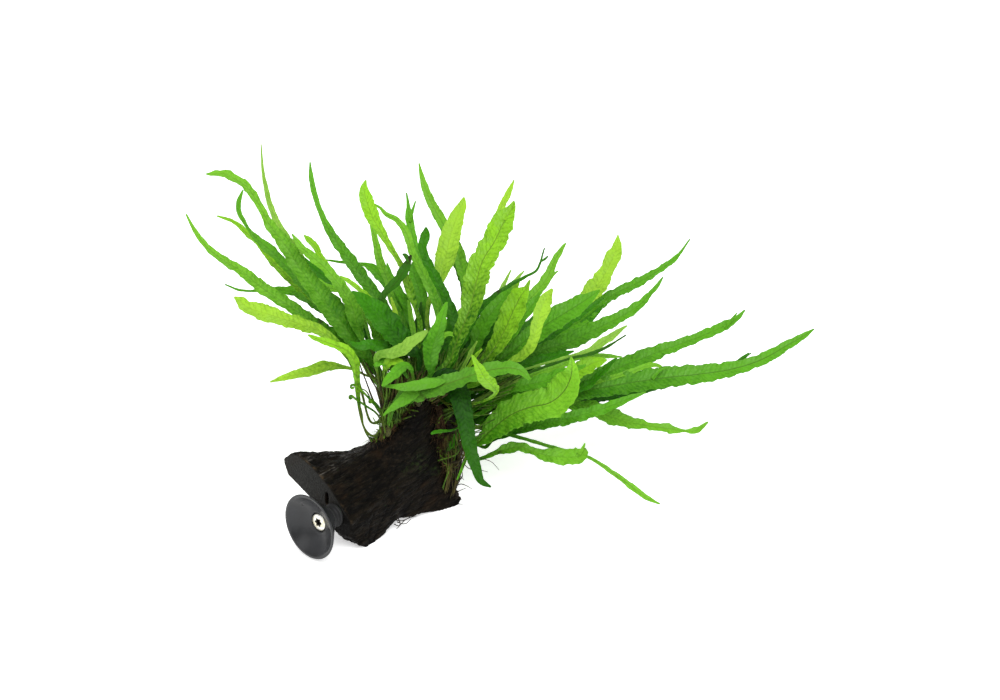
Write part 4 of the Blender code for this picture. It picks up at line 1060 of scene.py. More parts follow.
def make_screw():
    """The countersunk screw: star recess, dished face, chamfered head and shank."""
    star = [star_radius(2 * math.pi * j / SCREW_SEGMENTS) for j in range(SCREW_SEGMENTS)]
    vertices = []
    for before, share in RECESS_RINGS:
        vertices += ring_places(before, [share * radius for radius in star])
    for before, radius in SCREW_PROFILE:
        vertices += ring_places(before, [radius] * SCREW_SEGMENTS)
    rings = len(RECESS_RINGS) + len(SCREW_PROFILE)
    # Marks the recess floor for painted shade.
    recess = np.arange(rings) < RECESS_FLOOR_RINGS
    piece = add_piece("star_screw", vertices, tube_faces(rings, SCREW_SEGMENTS), steel_material(),
                      ("screw",), {"recess": np.repeat(recess, SCREW_SEGMENTS)})
    piece.data.set_sharp_from_angle(angle=math.radians(SCREW_SHARP_ANGLE))


def tube_along(points, radii, sides):
    """Vertices and faces of a thin tube through the points."""
    points = np.asarray(points, float)
    ahead = unit(np.gradient(points, axis=0))
    aside = unit(np.cross(ahead, (0.31, 0.17, 0.93)))
    above = np.cross(ahead, aside)
    angles = 2 * math.pi * np.arange(sides) / sides
    ring = (aside[:, None, :] * np.cos(angles)[None, :, None]
            + above[:, None, :] * np.sin(angles)[None, :, None])
    places = points[:, None, :] + ring * np.asarray(radii)[:, None, None]
    return places.reshape(-1, 3), tube_faces(len(points), sides)


def add_tubes(name, tubes, material, stands_for=()):
    """Many tubes as one piece."""
    vertices, faces = [], []
    for more_vertices, more_faces in tubes:
        start = len(vertices)
        vertices.extend(more_vertices)
        faces.extend(tuple(start + k for k in face) for face in more_faces)
    add_piece(name, vertices, faces, material, stands_for)


# Creeping stems and the scars of their old stalks
STEM_STATIONS = 90
STEM_SIDES = 18
STEM_SCARS = 14
SCAR_MARGIN = 6
SCAR_RADII = (0.75 * MM, 0.6 * MM, 0.35 * MM)
SCAR_SIDES = 8


def make_rhizome(surface, name, material):
    """A knobbly creeping stem with the scars of old stalks."""
    line = rhizome_line(surface, name, STEM_STATIONS)
    points = np.array([p for p, _ in line])
    along = np.linspace(0, route_length(points), len(points))
    rng = np.random.default_rng(len(name))
    knobs = 0.06 * np.sin(along / (1.35 * MM))
    radii = RHIZOME_RADIUS * (0.94 + knobs + 0.05 * wander(along, 6 * MM, rng))
    ends = np.minimum(np.arange(len(points)), np.arange(len(points))[::-1])
    radii *= np.sqrt(np.clip((ends + 0.6) / 5, 0, 1))
    tubes = [tube_along(points, radii, STEM_SIDES)]
    for _ in range(STEM_SCARS):
        at = rng.integers(SCAR_MARGIN, len(points) - SCAR_MARGIN)
        middle, up = line[at]
        ahead = Vector(points[at + 1] - points[at - 1]).normalized()
        out = Matrix.Rotation(rng.uniform(-1.1, 1.1), 3, ahead) @ up
        start = middle + out * RHIZOME_RADIUS * 0.8
        end = start + out * rng.uniform(1.8, 3.4) * MM + ahead * 0.4 * MM
        tubes.append(tube_along([start, start + out * 1.2 * MM, end], SCAR_RADII, SCAR_SIDES))
    add_tubes("stem_" + name, tubes, material, ("rhizome_" + name,))


def creeping_root(surface, start, heading, steps, rng, height, fall, keep_off_front):
    """One hair root: it clings to the wood, wandering, and follows its heading."""
    points = []
    place = Vector(start)
    for _ in range(steps):
        foot, normal, _, _ = surface.find_nearest(place)
        if keep_off_front and normal.y < -0.3:
            break
        cling = foot + normal * height
        points.append(cling)
        turn = Vector(rng.normal(0, 0.5, 3))
        heading = (heading + turn * 0.55 + Vector((0, 0, -fall))).normalized()
        heading = (heading - normal * heading.dot(normal)).normalized()
        place = cling + heading * 1.3 * MM
    return points


def hanging_root(start, heading, steps, rng, fall):
    """One free hair root, falling from its start."""
    points = [Vector(start)]
    for _ in range(steps):
        heading = (heading + Vector(rng.normal(0, 0.3, 3)) + Vector((0, 0, -fall))).normalized()
        points.append(points[-1] + heading * 1.2 * MM)
    return points


def root_tube(points, radius):
    """The tube of one root, which tapers and stays above the floor."""
    smooth = smooth_route(points, 2 * len(points))
    smooth[:, 2] = np.maximum(smooth[:, 2], LOWEST_ROOT)
    return tube_along(smooth, radius * np.linspace(1, ROOT_TAPER, len(smooth)), ROOT_SIDES)


# Mats of hair roots, which start on the line from first to last, in millimetres from the foot corner
RootMat = namedtuple("RootMat", "first last number fall steps height keep_off_front stands_for")
ROOT_MATS = {
    "left": RootMat((36, 20, 46), (50, 38, 40), 90, 0.1, 7, 0.9, True, ("roots_left",)),
    "notch": RootMat((42, 14, 50), (58, 17, 64), 200, 0.1, 7, 2.0, True, ()),
    "right": RootMat((75, 3, 20), (75, 9, 54), 420, 0.2, 8, 2.0, False, ("roots_right",)),
    "end": RootMat((77, 8, 22), (77, 20, 50), 380, 0.25, 9, 1.6, False, ()),
    "crown": RootMat((60, 17, 62), (79, 24, 54), 110, 0.3, 12, 2.0, True, ()),
    "behind": RootMat((50, 24, 47), (74, 34, 48), 110, 0.4, 16, 2.0, True, ()),
}
FREE_ROOT_SHARE = 0.2
LOWEST_ROOT = 0.4 * MM
LOOSE_ROOT_RADIUS = 0.36 * MM
ROOT_TAPER = 0.45
ROOT_SIDES = 3

# Single roots that stick out past the wood: picture points, at the depth of the wood's right end
LOOSE_ROOTS = (
    ((453, 488), (456, 486), (461, 484), (467, 486), (472, 489)),
    ((453, 495), (456, 493), (459, 491), (466, 488)),
    ((453, 502), (458, 505), (463, 507)),
    ((455, 474), (460, 476), (464, 480)),
    ((456, 481), (460, 479), (463, 475)),
    ((454, 459), (460, 463), (465, 465), (468, 468), (474, 470), (480, 470), (484, 471), (488, 472)),
    ((454, 457), (466, 459), (478, 458), (487, 460), (493, 463), (499, 470)),
    ((451, 507), (452, 511), (450, 514)),
    ((446, 506), (448, 510), (454, 512)),
)

# Single roots at the wood's low front edge: picture points
LIP_ROOTS = (
    ((396, 520), (402, 521), (409, 518), (417, 516)),
    ((397, 522), (405, 524), (411, 519)),
    ((394, 524), (399, 526), (404, 521), (410, 517)),
    ((398, 518), (400, 524), (396, 530)),
)
LOOSE_ROOT_DEPTH = -46 * MM
LIP_ROOT_DEPTH = -19 * MM

# The matted core of the roots on the wood's right end: picture points, and radii in millimetres
ROOT_CLUMP = ((440, 398, 2), (444, 408, 4), (448, 422, 5), (451, 440, 5.5), (453, 458, 5), (454, 474, 3.6),
              (454, 488, 1.6))
CLUMP_DEPTH = -52 * MM
CLUMP_STATIONS = 60
CLUMP_SIDES = 28

# Thin old stalks drawn one by one: picture points, depth in millimetres, and whether they are brown
THIN_STALKS = (
    (((382, 414), (376, 406), (370, 392), (366, 381), (362, 371), (358, 358)), -26, True),
    (((384, 402), (376.5, 388.5), (370, 377.5), (362, 362)), -30, True),
    (((384, 392), (374, 377), (366, 363)), -34, True),
    (((384, 418), (378, 410), (371, 400), (367, 392), (362, 389), (358, 389)), -22, False),
    (((372, 442), (366, 433), (363, 424), (362, 414), (359, 402)), -20, False),
    (((463, 436), (459, 446), (454, 452), (448, 454)), -44, False),
)
THIN_STALK_RADIUS = 0.5 * MM
THIN_STALK_STATIONS = 24
STALK_SIDES = 6


def make_root_mat(surface, name, material):
    """Matted hair roots from the creeping stems over the wood."""
    mat = ROOT_MATS[name]
    rng = np.random.default_rng(SEEDS["root_mats"] + len(name))
    first, last = from_corner(*mat.first), from_corner(*mat.last)
    tubes = []
    for _ in range(mat.number):
        start = first.lerp(last, rng.random()) + Vector(rng.normal(0, 1.8, 3)) * MM
        heading = Vector(rng.normal(0, 1, 3)).normalized()
        height = rng.uniform(0.15, mat.height) * MM
        steps = rng.integers(5, mat.steps + 5)
        points = creeping_root(surface, start, heading, steps, rng, height, mat.fall, mat.keep_off_front)
        if len(points) > 3:
            tubes.append(root_tube(points, rng.uniform(0.1, 0.26) * MM))
    for _ in range(round(mat.number * FREE_ROOT_SHARE)):
        start, normal, _, _ = surface.find_nearest(first.lerp(last, rng.random()))
        heading = (normal + Vector(rng.normal(0, 0.4, 3))).normalized()
        points = hanging_root(start, heading, rng.integers(3, 6), rng, 0.25)
        tubes.append(root_tube(points, rng.uniform(0.07, 0.14) * MM))
    add_tubes("hair_roots_" + name, tubes, material, mat.stands_for)


def make_loose_roots(material):
    """The thin roots that show against the light beside and under the wood."""
    tubes = []
    for routes, depth in ((LOOSE_ROOTS, LOOSE_ROOT_DEPTH), (LIP_ROOTS, LIP_ROOT_DEPTH)):
        for route in routes:
            tubes.append(root_tube([in_picture(x, y, depth) for x, y in route], LOOSE_ROOT_RADIUS))
    add_tubes("loose_roots", tubes, material)


def make_root_clump(material):
    """The dense lumpy core of the roots on the wood's right end."""
    rng = np.random.default_rng(SEEDS["clump"])
    points = [(*in_picture(x, y, CLUMP_DEPTH), radius) for x, y, radius in ROOT_CLUMP]
    smooth = smooth_route(points, CLUMP_STATIONS)
    vertices, faces = tube_along(smooth[:, :3], smooth[:, 3] * MM, CLUMP_SIDES)
    lumps = rng.uniform(0.7, 1.15, len(vertices))
    middles = np.repeat(smooth[:, :3], CLUMP_SIDES, axis=0)
    vertices = middles + (vertices - middles) * lumps[:, None]
    vertices[:, 2] = np.maximum(vertices[:, 2], LOWEST_ROOT)
    add_piece("root_clump", vertices, faces, material)


def make_thin_stalks(materials):
    """Thin stalks whose course shows against the light."""
    radii = THIN_STALK_RADIUS * np.linspace(1, 0.7, THIN_STALK_STATIONS)
    for brown, name, slot in ((True, "brown", "rhizome"), (False, "green", "leaf_green")):
        tubes = []
        for route, depth, is_brown in THIN_STALKS:
            if is_brown == brown:
                points = [in_picture(x, y, depth * MM) for x, y in route]
                tubes.append(tube_along(smooth_route(points, THIN_STALK_STATIONS), radii, STALK_SIDES))
        add_tubes("thin_stalks_" + name, tubes, materials[brown])


# Sheaves of thin stalks, from feet through a waist to a crest, all picture lines; depths in millimetres
Sheaf = namedtuple("Sheaf", "name feet depths waist crest leans number brown")
SHEAVES = (
    Sheaf("post", ((382, 438), (408, 410)), None, ((383, 420), (405, 398)),
          ((383, 370), (404, 360)), (-0.3, 0.3), 34, False),
    Sheaf("post_old", ((381, 440), (410, 408)), None, ((383, 424), (405, 402)),
          ((382, 384), (406, 372)), (-0.3, 0.2), 80, True),
    Sheaf("post_short", ((383, 438), (408, 412)), None, ((384, 430), (407, 406)),
          ((381, 410), (403, 390)), (-0.2, 0.6), 34, False),
    Sheaf("left_bases", ((384, 424), (400, 408)), (-50, -30), ((383, 396), (398, 384)),
          ((370, 352), (392, 346)), (-0.5, -0.1), 24, False),
    Sheaf("top_bases", ((402, 406), (424, 398)), (-36, -16), ((398, 388), (428, 380)),
          ((392, 352), (432, 344)), (-0.3, 0.2), 40, False),
    Sheaf("top_old", ((404, 406), (430, 396)), (-36, -16), ((404, 390), (436, 384)),
          ((398, 374), (446, 368)), (-0.2, 0.4), 50, True),
    Sheaf("crown_bases", ((424, 398), (444, 398)), (-50, -24), ((432, 384), (466, 380)),
          ((436, 350), (500, 346)), (-0.4, 0.2), 46, False),
    Sheaf("crown_old", ((424, 398), (446, 402)), (-50, -24), ((434, 384), (466, 382)),
          ((430, 376), (474, 368)), (-0.1, 0.3), 44, True),
    Sheaf("right_bases", ((440, 430), (446, 408)), (-60, -40), ((456, 410), (478, 400)),
          ((500, 408), (524, 372)), (-0.3, 0.3), 40, False),
    Sheaf("right_low", ((440, 460), (446, 430)), (-60, -44), ((456, 446), (474, 424)),
          ((482, 436), (512, 412)), (-0.2, 0.3), 12, False),
    Sheaf("end_moss", ((443, 488), (456, 448)), None, ((447, 472), (462, 446)),
          ((445, 446), (464, 414)), (-0.2, 0.4), 12, False),
    Sheaf("end_old", ((445, 494), (457, 456)), None, ((448, 476), (463, 458)),
          ((443, 440), (464, 416)), (-0.2, 0.4), 34, True),
    Sheaf("end_low", ((451, 500), (456, 482)), None, ((453, 490), (463, 476)),
          ((450, 468), (466, 456)), (-0.1, 0.3), 8, True),
)
SHEAF_STATIONS = 16
WAIST_HEIGHT = 4 * MM
SHEAF_RADII = (0.4, 0.62)
END_SHEAF_RADII = (0.18, 0.4)
HIDDEN_DEPTHS = (-50, -30)


def between(line, share):
    """The picture point at a share of the way along a picture line."""
    return [a + (b - a) * share for a, b in zip(*line)]


def seen_foot(surface, point):
    """The place on the wood that the picture shows at a point, or None beside the wood."""
    eye = VIEW_TARGET + VIEW_BACK * VIEW_DISTANCE
    return surface.ray_cast(eye, (in_picture(*point, 0) - eye).normalized())[0]


def make_sheaf(surface, sheaf, materials):
    """Thin stalks, bending softly, whose blades are hidden in the crown or long gone."""
    rng = np.random.default_rng(SEEDS["sheaves"] + len(sheaf.name) + sheaf.number)
    thickness = END_SHEAF_RADII if sheaf.name.startswith("end") else SHEAF_RADII
    tubes = []
    for _ in range(sheaf.number):
        place = rng.random()
        at = [value + rng.normal(0, 1.0) for value in between(sheaf.feet, place)]
        foot = seen_foot(surface, at) if sheaf.depths is None else None
        if foot is None:
            low, high = sheaf.depths or HIDDEN_DEPTHS
            foot, _, _, _ = surface.find_nearest(in_picture(*at, rng.uniform(low, high) * MM))
        depth = depth_of(foot)
        waist = between(sheaf.waist, place + rng.normal(0, 0.1))
        crest = between(sheaf.crest, place + rng.normal(0, 0.22))
        lean = rng.uniform(*sheaf.leans)
        rise = math.hypot(crest[0] - waist[0], crest[1] - waist[1]) * PIXEL
        middle = [(a + b) / 2 + rng.normal(0, 2.2) for a, b in zip(waist, crest)]
        points = [foot, in_picture(*waist, depth + lean * WAIST_HEIGHT),
                  in_picture(*middle, depth + lean * (WAIST_HEIGHT + rise / 2)),
                  in_picture(*crest, depth + lean * (WAIST_HEIGHT + rise))]
        radii = rng.uniform(*thickness) * MM * np.linspace(1.1, 0.5, SHEAF_STATIONS)
        tubes.append(tube_along(smooth_route(points, SHEAF_STATIONS), radii, STALK_SIDES))
    add_tubes("stalks_" + sheaf.name, tubes, materials[sheaf.brown])


# Mossy curls on the wood: picture point, spread in pixels and how many
MOSS_CURLS = (
    (399, 420, 3.5, 16), (407, 411, 3, 14), (388, 427, 2.5, 14), (383, 434, 2, 6), (376, 440, 2, 4),
    (442, 452, 2, 16), (450, 438, 3, 8), (455, 452, 4, 8), (452, 468, 3, 6),
    (447, 424, 3, 8), (453, 416, 3.5, 8), (458, 430, 3, 6), (440, 412, 3, 6),
)
CURL_LENGTH = (1.2, 3.4)
CURL_SHARES = (0, 0.35, 0.7, 1)
CURL_RADII = (0.7, 1, 1, 1, 0.9, 0.7, 0.3)
CURL_SIDES = 5


def make_moss(surface, material):
    """Short stubby curls that stand on the wood's mossy places."""
    rng = np.random.default_rng(SEEDS["moss"])
    tubes = []
    for x, y, spread, number in MOSS_CURLS:
        for _ in range(number):
            at = (x + rng.normal(0, spread / 2), y + rng.normal(0, spread / 2))
            foot = seen_foot(surface, at)
            if foot is None:
                foot, _, _, _ = surface.find_nearest(in_picture(*at, rng.uniform(*HIDDEN_DEPTHS) * MM))
            heading = (VIEW_BACK * 0.5 + Vector(rng.normal(0, 0.8, 3)) + Vector((0, 0, 0.6))).normalized()
            bend = Vector(rng.normal(0, 0.9, 3))
            length = rng.uniform(*CURL_LENGTH) * MM
            points = [foot + (heading * share + bend * share ** 2) * length for share in CURL_SHARES]
            radii = rng.uniform(0.25, 0.55) * MM * np.array(CURL_RADII)
            tubes.append(tube_along(smooth_route(points, len(CURL_RADII)), radii, CURL_SIDES))
    add_tubes("moss_curls", tubes, material)


# Young fronds still curled: index is a place along their stem, curl the spiral's radius in pixels
YoungCurl = namedtuple("YoungCurl", "name stem index route curl lean stands_for")
YOUNG_CURLS = (
    YoungCurl("a", "left", 1, ((381, 414), (372, 402), (362, 391), (354, 385)), 2.4, 0.35,
              ("fiddlehead",)),
    YoungCurl("b", "left", 3, ((377, 414), (366, 406), (357, 400), (352, 396)), 1.9, 0.3, ()),
    YoungCurl("c", "left", 6, ((382, 414), (378, 406), (372, 400)), 2.0, 0.2, ()),
)
CURLED_RADIUS = 0.6 * MM
CURLED_TURNS = 0.85
CURLED_STEPS = 18
CURLED_STATIONS = 90
CURLED_SIDES = 10


def make_young_curl(surface, young, material):
    """A young frond: a thin stalk that ends in a tight spiral, seen flat from the front."""
    foot = stalk_foot(rhizome_line(surface, young.stem), young.index, young.route[0])
    depth = depth_of(foot)
    points = [foot]
    for x, y in young.route:
        points.append(in_picture(x, y, depth))
        depth += young.lean * 4 * MM
    end = points[-1]
    ahead = Vector(points[-1] - points[-2]).normalized()
    inward = ahead.cross(VIEW_BACK).normalized()
    radius = young.curl * PIXEL
    centre = end - inward * radius
    for turn in np.linspace(0.05, CURLED_TURNS, CURLED_STEPS):
        angle = 2 * math.pi * turn
        reach = radius * (1 - 0.62 * turn / CURLED_TURNS)
        points.append(centre + (inward * math.cos(angle) + ahead * math.sin(angle)) * reach
                      + VIEW_BACK * turn * 0.3 * MM)
    smooth = smooth_route(points, CURLED_STATIONS)
    radii = CURLED_RADIUS * np.linspace(0.8, 1.1, CURLED_STATIONS)
    vertices, faces = tube_along(smooth, radii, CURLED_SIDES)
    along = np.repeat(np.linspace(0, 1, CURLED_STATIONS), CURLED_SIDES)
    attributes = {"offset": along * 0 + 0.8, "along": along * 30, "share": along * 0.5, "edge": along * 0,
                  "stalk": np.clip(1.2 - 2 * along, 0, 1)}
    add_piece("young_curl_" + young.name, vertices, faces, material, young.stands_for,
              attributes)


# Small fronds between the large ones: stem, share of the way along it, paint, lean and route
SmallFrond = namedtuple("SmallFrond", "name stem share paint lean route")
SMALL_LOOK = (0.25, 0.8, 0.2)
SMALL_FRONDS = [SmallFrond(*row) for row in (
    ("yellow_left", "left", 0.95, "fresh", -0.6,
     ((372, 345, 2.5), (345, 290, 4), (322, 258, 5), (315, 246, 7), (309, 240, 6), (304, 235, 1))),
    ("dark_left", "left", 0.9, "deep", -0.5,
     ((370, 350, 2.5), (352, 305, 5), (337, 287, 7), (325, 278, 8), (312, 267.5, 8), (300, 255, 1))),
    ("olive_left", "left", 0.6, "mid", -0.3,
     ((372, 350, 2.5), (360, 305, 4), (347, 292, 5.5), (330, 288, 6), (316, 280, 6), (305, 268, 1))),
    ("thin_left", "top", 0.3, "fresh", 0.1,
     ((396, 350, 2.5), (384, 318, 4), (370, 300, 5), (360, 290, 5), (350, 282, 4), (340, 276, 1))),
    ("low_left_end", "top", 0.5, "mid", -0.03,
     ((372, 300, 2.5), (360, 312, 6), (358, 326, 6), (361, 340, 1))),
    ("under_long", "crown", 0.55, "deep", -0.15,
     ((486, 382, 3), (512, 368, 9), (536, 362, 12), (556, 356, 9), (574, 351, 1))),
    ("band_under_wavy", "right", 0.6, "mid", 0.0,
     ((486, 400, 3), (515, 384, 8), (540, 372, 9), (560, 366, 7), (572, 360, 1))),
    ("finger_lobe", "left", 0.3, "fresh", 0.42,
     ((384, 376, 2), (386, 366, 6), (392, 361, 9), (400, 363, 7), (404, 370, 1))),
    ("brow", "top", 0.2, "deep", 0.2,
     ((428, 392, 3), (438, 378, 9), (446, 368, 12), (452, 362, 8), (458, 354, 1))),
    ("end_leaf_a", "right", 0.5, "deep", 0.5,
     ((462, 428, 2), (457, 436, 5), (452, 444, 6), (448, 451, 1))),
    ("end_leaf_b", "right", 0.3, "green", 0.4,
     ((459, 444, 1.4), (466, 455, 2.6), (463, 466, 2.6), (457, 480, 0.8))),
    ("end_leaf_c", "right", 0.6, "deep", 0.5,
     ((454, 444, 1.5), (448, 448, 4), (443, 453, 4.5), (440, 457, 1))),
    ("pale_tip_a", "crown", 0.6, "pale", -0.3,
     ((470, 350, 3), (490, 312, 5), (503, 286, 4), (511, 270, 1))),
    ("pale_tip_b", "crown", 0.75, "pale", -0.35,
     ((475, 345, 3), (500, 305, 6), (512, 285, 5), (524, 271, 1))),
    ("hook_middle", "top", 0.28, "mid", 0.3,
     ((424, 372, 2.5), (433, 350, 4), (441, 338, 5), (450, 334, 4), (461, 338, 0.8))),
    ("tip_middle_a", "crown", 0.08, "pale", 0.3,
     ((455, 380, 2.5), (466, 362, 3), (471, 352, 3), (477, 341, 0.8))),
    ("tip_middle_b", "crown", 0.14, "fresh", 0.3,
     ((458, 384, 2.5), (468, 368, 3), (475, 357, 3.4), (482, 349, 0.8))),
    ("pale_right", "crown", 0.45, "pale", -0.1,
     ((490, 381, 3), (530, 368, 2), (560, 359, 2), (586, 352, 5), (600, 344, 8), (612, 336, 7),
      (627, 325.5, 1))),
    ("ribbed_right", "crown", 0.35, "brown", 0.02,
     ((485, 389, 2.5), (520, 376, 2), (545, 367, 2), (570, 358.5, 2), (590, 354, 3),
      (603, 349, 3), (612, 344, 1.6), (626, 335, 0.8))),
    ("blue_right", "right", 0.7, "mid", -0.12,
     ((495, 398, 3), (530, 376, 5), (560, 362, 5), (590, 356, 5), (605, 356, 4.5), (622, 357, 1))),
    ("dark_twist_right", "right", 0.8, "deep", -0.05,
     ((500, 408, 3), (545, 398, 6), (582, 388, 8), (600, 374, 6), (609, 365, 5), (617, 358, 1))),
    ("grey_middle", "crown", 0.5, "green", 0.0,
     ((486, 368, 4), (508, 340, 8), (522, 318, 10), (533, 304, 9), (541, 291, 1))),
    ("dark_middle", "crown", 0.7, "deep", -0.3,
     ((490, 375, 4), (520, 356, 8), (548, 337, 9), (575, 318, 8), (592, 306, 5), (604, 298, 1))),
    ("behind_paddle", "crown", 0.9, "green", -0.55,
     ((495, 370, 4), (545, 345, 6), (575, 330, 8), (586, 321, 7), (594, 313, 4), (600, 306, 1))),
    ("sliver_a", "top", 0.55, "lime", -0.15,
     ((405, 345, 2.5), (399, 327, 4), (395, 312, 4.5), (391, 297, 1))),
    ("sliver_b", "top", 0.62, "mid", -0.2,
     ((418, 350, 3), (414, 335, 5), (411, 318, 5), (408, 300, 1))),
    ("on_wood", "crown", 0.02, "deep", 0.6,
     ((463, 421, 1), (460, 426, 1), (453, 430, 1), (446, 431, 1.6), (439, 431.5, 3.2), (434, 432.5, 3),
      (431, 434, 0.8))),
    ("filler_a", "top", 0.15, "green", 0.15,
     ((406, 375, 3), (392, 365, 7), (382, 362, 8), (374, 366, 2))),
    ("filler_b", "top", 0.45, "deep", 0.1,
     ((420, 365, 4), (425, 350, 9), (429, 338, 8), (431, 330, 1))),
    ("filler_c", "crown", 0.25, "deep", 0.12,
     ((450, 370, 4), (458, 350, 9), (466, 332, 9), (476, 312, 6), (482, 300, 1))),
    ("filler_d", "crown", 0.3, "shade", 0.1,
     ((465, 388, 4), (480, 378, 9), (497, 370, 10), (512, 364, 6), (522, 360, 1))),
    ("filler_e", "right", 0.35, "green", 0.1,
     ((478, 415, 3), (496, 402, 8), (512, 396, 9), (530, 393, 6), (542, 392, 1))),
    ("filler_f", "top", 0.75, "deep", -0.25,
     ((412, 350, 4), (403, 334, 8), (399, 322, 1))),
    ("gap_left", "left", 0.9, "mid", -0.4,
     ((386, 372, 3), (385, 355, 12), (381, 340, 15), (375, 325, 12), (367, 312, 6), (361, 302, 1))),
    ("gap_a", "crown", 0.35, "deep", -0.35,
     ((455, 385, 4), (462, 365, 14), (470, 345, 16), (480, 325, 12), (488, 308, 1))),
    ("gap_b", "crown", 0.65, "deep", -0.45,
     ((475, 385, 4), (495, 360, 14), (515, 340, 16), (535, 322, 12), (550, 308, 1))),
    ("gap_c", "right", 0.6, "deep", -0.3,
     ((480, 395, 4), (510, 376, 13), (532, 365, 12), (545, 359, 7), (554, 355, 1))),
    ("gap_d", "top", 0.5, "deep", -0.35,
     ((432, 375, 4), (440, 355, 15), (447, 335, 15), (451, 320, 9), (451, 307, 1))),
    ("gap_e", "top", 0.7, "shade", -0.4,
     ((412, 370, 4), (416, 350, 15), (418, 332, 14), (420, 316, 7), (421, 302, 1))),
    ("gap_f", "right", 0.75, "deep", -0.2,
     ((470, 410, 4), (495, 395, 10), (520, 382, 10), (550, 370, 8), (575, 362, 1))),
    ("gap_h", "right", 0.55, "deep", 0.0,
     ((446, 408, 4), (458, 399, 10), (472, 391, 11), (488, 385, 8), (502, 381, 1))),
    ("gap_i", "right", 0.4, "shade", -0.1,
     ((450, 426, 4), (462, 424, 12), (476, 417, 13), (488, 409, 8), (500, 403, 1))),
    ("gap_j", "crown", 0.85, "green", -0.55,
     ((490, 372, 4), (530, 348, 8), (560, 332, 10), (582, 320, 12), (596, 309, 10), (606, 300, 3))),
    ("gap_k", "crown", 0.2, "deep", -0.35,
     ((468, 375, 4), (480, 348, 13), (491, 324, 13), (502, 302, 9), (513, 281, 1))),
    ("gap_l", "crown", 0.4, "green", -0.4,
     ((492, 365, 4), (508, 340, 9), (520, 320, 10), (530, 305, 2))),
    ("dark_left_base", "left", 0.3, "deep", 0.16,
     ((396, 374, 3), (396, 358, 8), (388, 348, 11), (373, 345, 11), (358, 345.5, 7), (349, 342, 1))),
    ("pale_strip", "left", 0.6, "pale", -0.2,
     ((384, 394, 1.2), (376, 383, 2.5), (370, 375, 4), (365, 367, 3.5), (360, 360, 1))),
    ("wide_bright_shoulder", "crown", 0.4, "fresh", -0.2,
     ((488, 350, 3), (500, 320, 8), (510, 295, 10), (515, 286, 7), (520, 279, 1))),
    ("curl_right", "right", 0.5, "mid", -0.25,
     ((560, 392, 3), (600, 381, 4), (630, 372, 5), (645, 366.5, 5), (656, 365, 4.5), (664, 369, 1))),
    ("gap_m", "crown", 0.8, "deep", -0.55,
     ((525, 365, 3), (560, 344, 8), (580, 328, 9), (593, 316, 7), (604, 305, 1))),
    ("gap_g", "crown", 0.1, "shade", 0.0,
     ((436, 404, 3), (444, 400, 6), (452, 397, 8), (462, 394, 7), (474, 392, 1))),
)]


def make_small_fronds(surface):
    """The small fronds that show in the gaps between the large ones."""
    for number, small in enumerate(SMALL_FRONDS):
        line = rhizome_line(surface, small.stem, ROUGH_STATIONS)
        index = round(small.share * (len(line) - 1))
        base = stalk_foot(line, index, small.route[0])
        look = Look(small.paint, *SMALL_LOOK)
        grow_frond("small_" + small.name, frond_points(base, small), look, SEEDS["small"] + number)


# Spurs on the fronds' edges: the frond they stand on, and their picture points and widths in pixels
SPURS = (
    ("crown_sharp", ((549, 279, 4), (554, 274, 2.4), (558, 271, 0.8))),
    ("crown_forked", ((540, 262, 2), (545, 259, 1.8), (548, 256, 0.8))),
    ("top_dark_spike", ((409, 222, 4), (412.5, 211, 2.6), (415.5, 201, 0.8))),
    ("top_dark_crossing", ((409, 262, 3), (406, 256, 4), (402.5, 254, 1))),
    ("right_torn", ((578, 454, 4.5), (582.5, 449, 3), (585, 443, 0.8))),
    ("right_upper_long", ((724, 328, 4), (732, 319, 2), (737, 313, 0.8))),
    ("right_under_longest", ((734, 364, 3), (743, 357, 1.8), (749, 353, 0.8))),
    ("right_longest", ((652, 379, 4), (659, 371, 2.2), (667, 367, 0.8))),
    ("top_big_blistered", ((504, 220, 5), (506.5, 213, 3), (510, 205, 0.8))),
    ("left_front_long", ((420, 392, 3), (410, 396, 12), (402, 401, 10), (394, 407, 6), (388, 411, 3),
                         (383, 416, 1))),
    ("left_front_long", ((446, 381, 2), (434, 383, 9), (420, 385, 10), (406, 387, 8), (394, 386.5, 4),
                         (383, 386, 1))),
)
SPURS_BEHIND = (11,)


def make_spur(number, parent, route, lines):
    """A small pointed tooth that leaves a frond's edge at the frond's own depth."""
    line = lines[parent]
    x, y = to_picture(line[:, :3])
    nearest = np.argmin((x - route[0][0]) ** 2 + (y - route[0][1]) ** 2)
    depth = depth_of(Vector(line[nearest, :3])) + (-0.7 if number in SPURS_BEHIND else 0.2) * MM
    points = [(*in_picture(px, py, depth), width) for px, py, width in route]
    look = LOOKS[parent]._replace(waves=0.05, rib=0.0)
    grow_frond(f"spur_{number}", points, look, SEEDS["spurs"] + number, stalked=False)


# Fronds of the back: each follows a frond of the front in the picture, shorter, but leans away
ECHO_LEANS = {"left": -0.75, "top": -0.8, "crown": -0.75, "right": -0.6}
ECHO_STRIDE = 2
ECHO_SHRINK = 0.75
ECHO_LEAST = 4
ECHO_KEPT = (0.6, 0.85)
LOWEST_TIP = 12 * MM


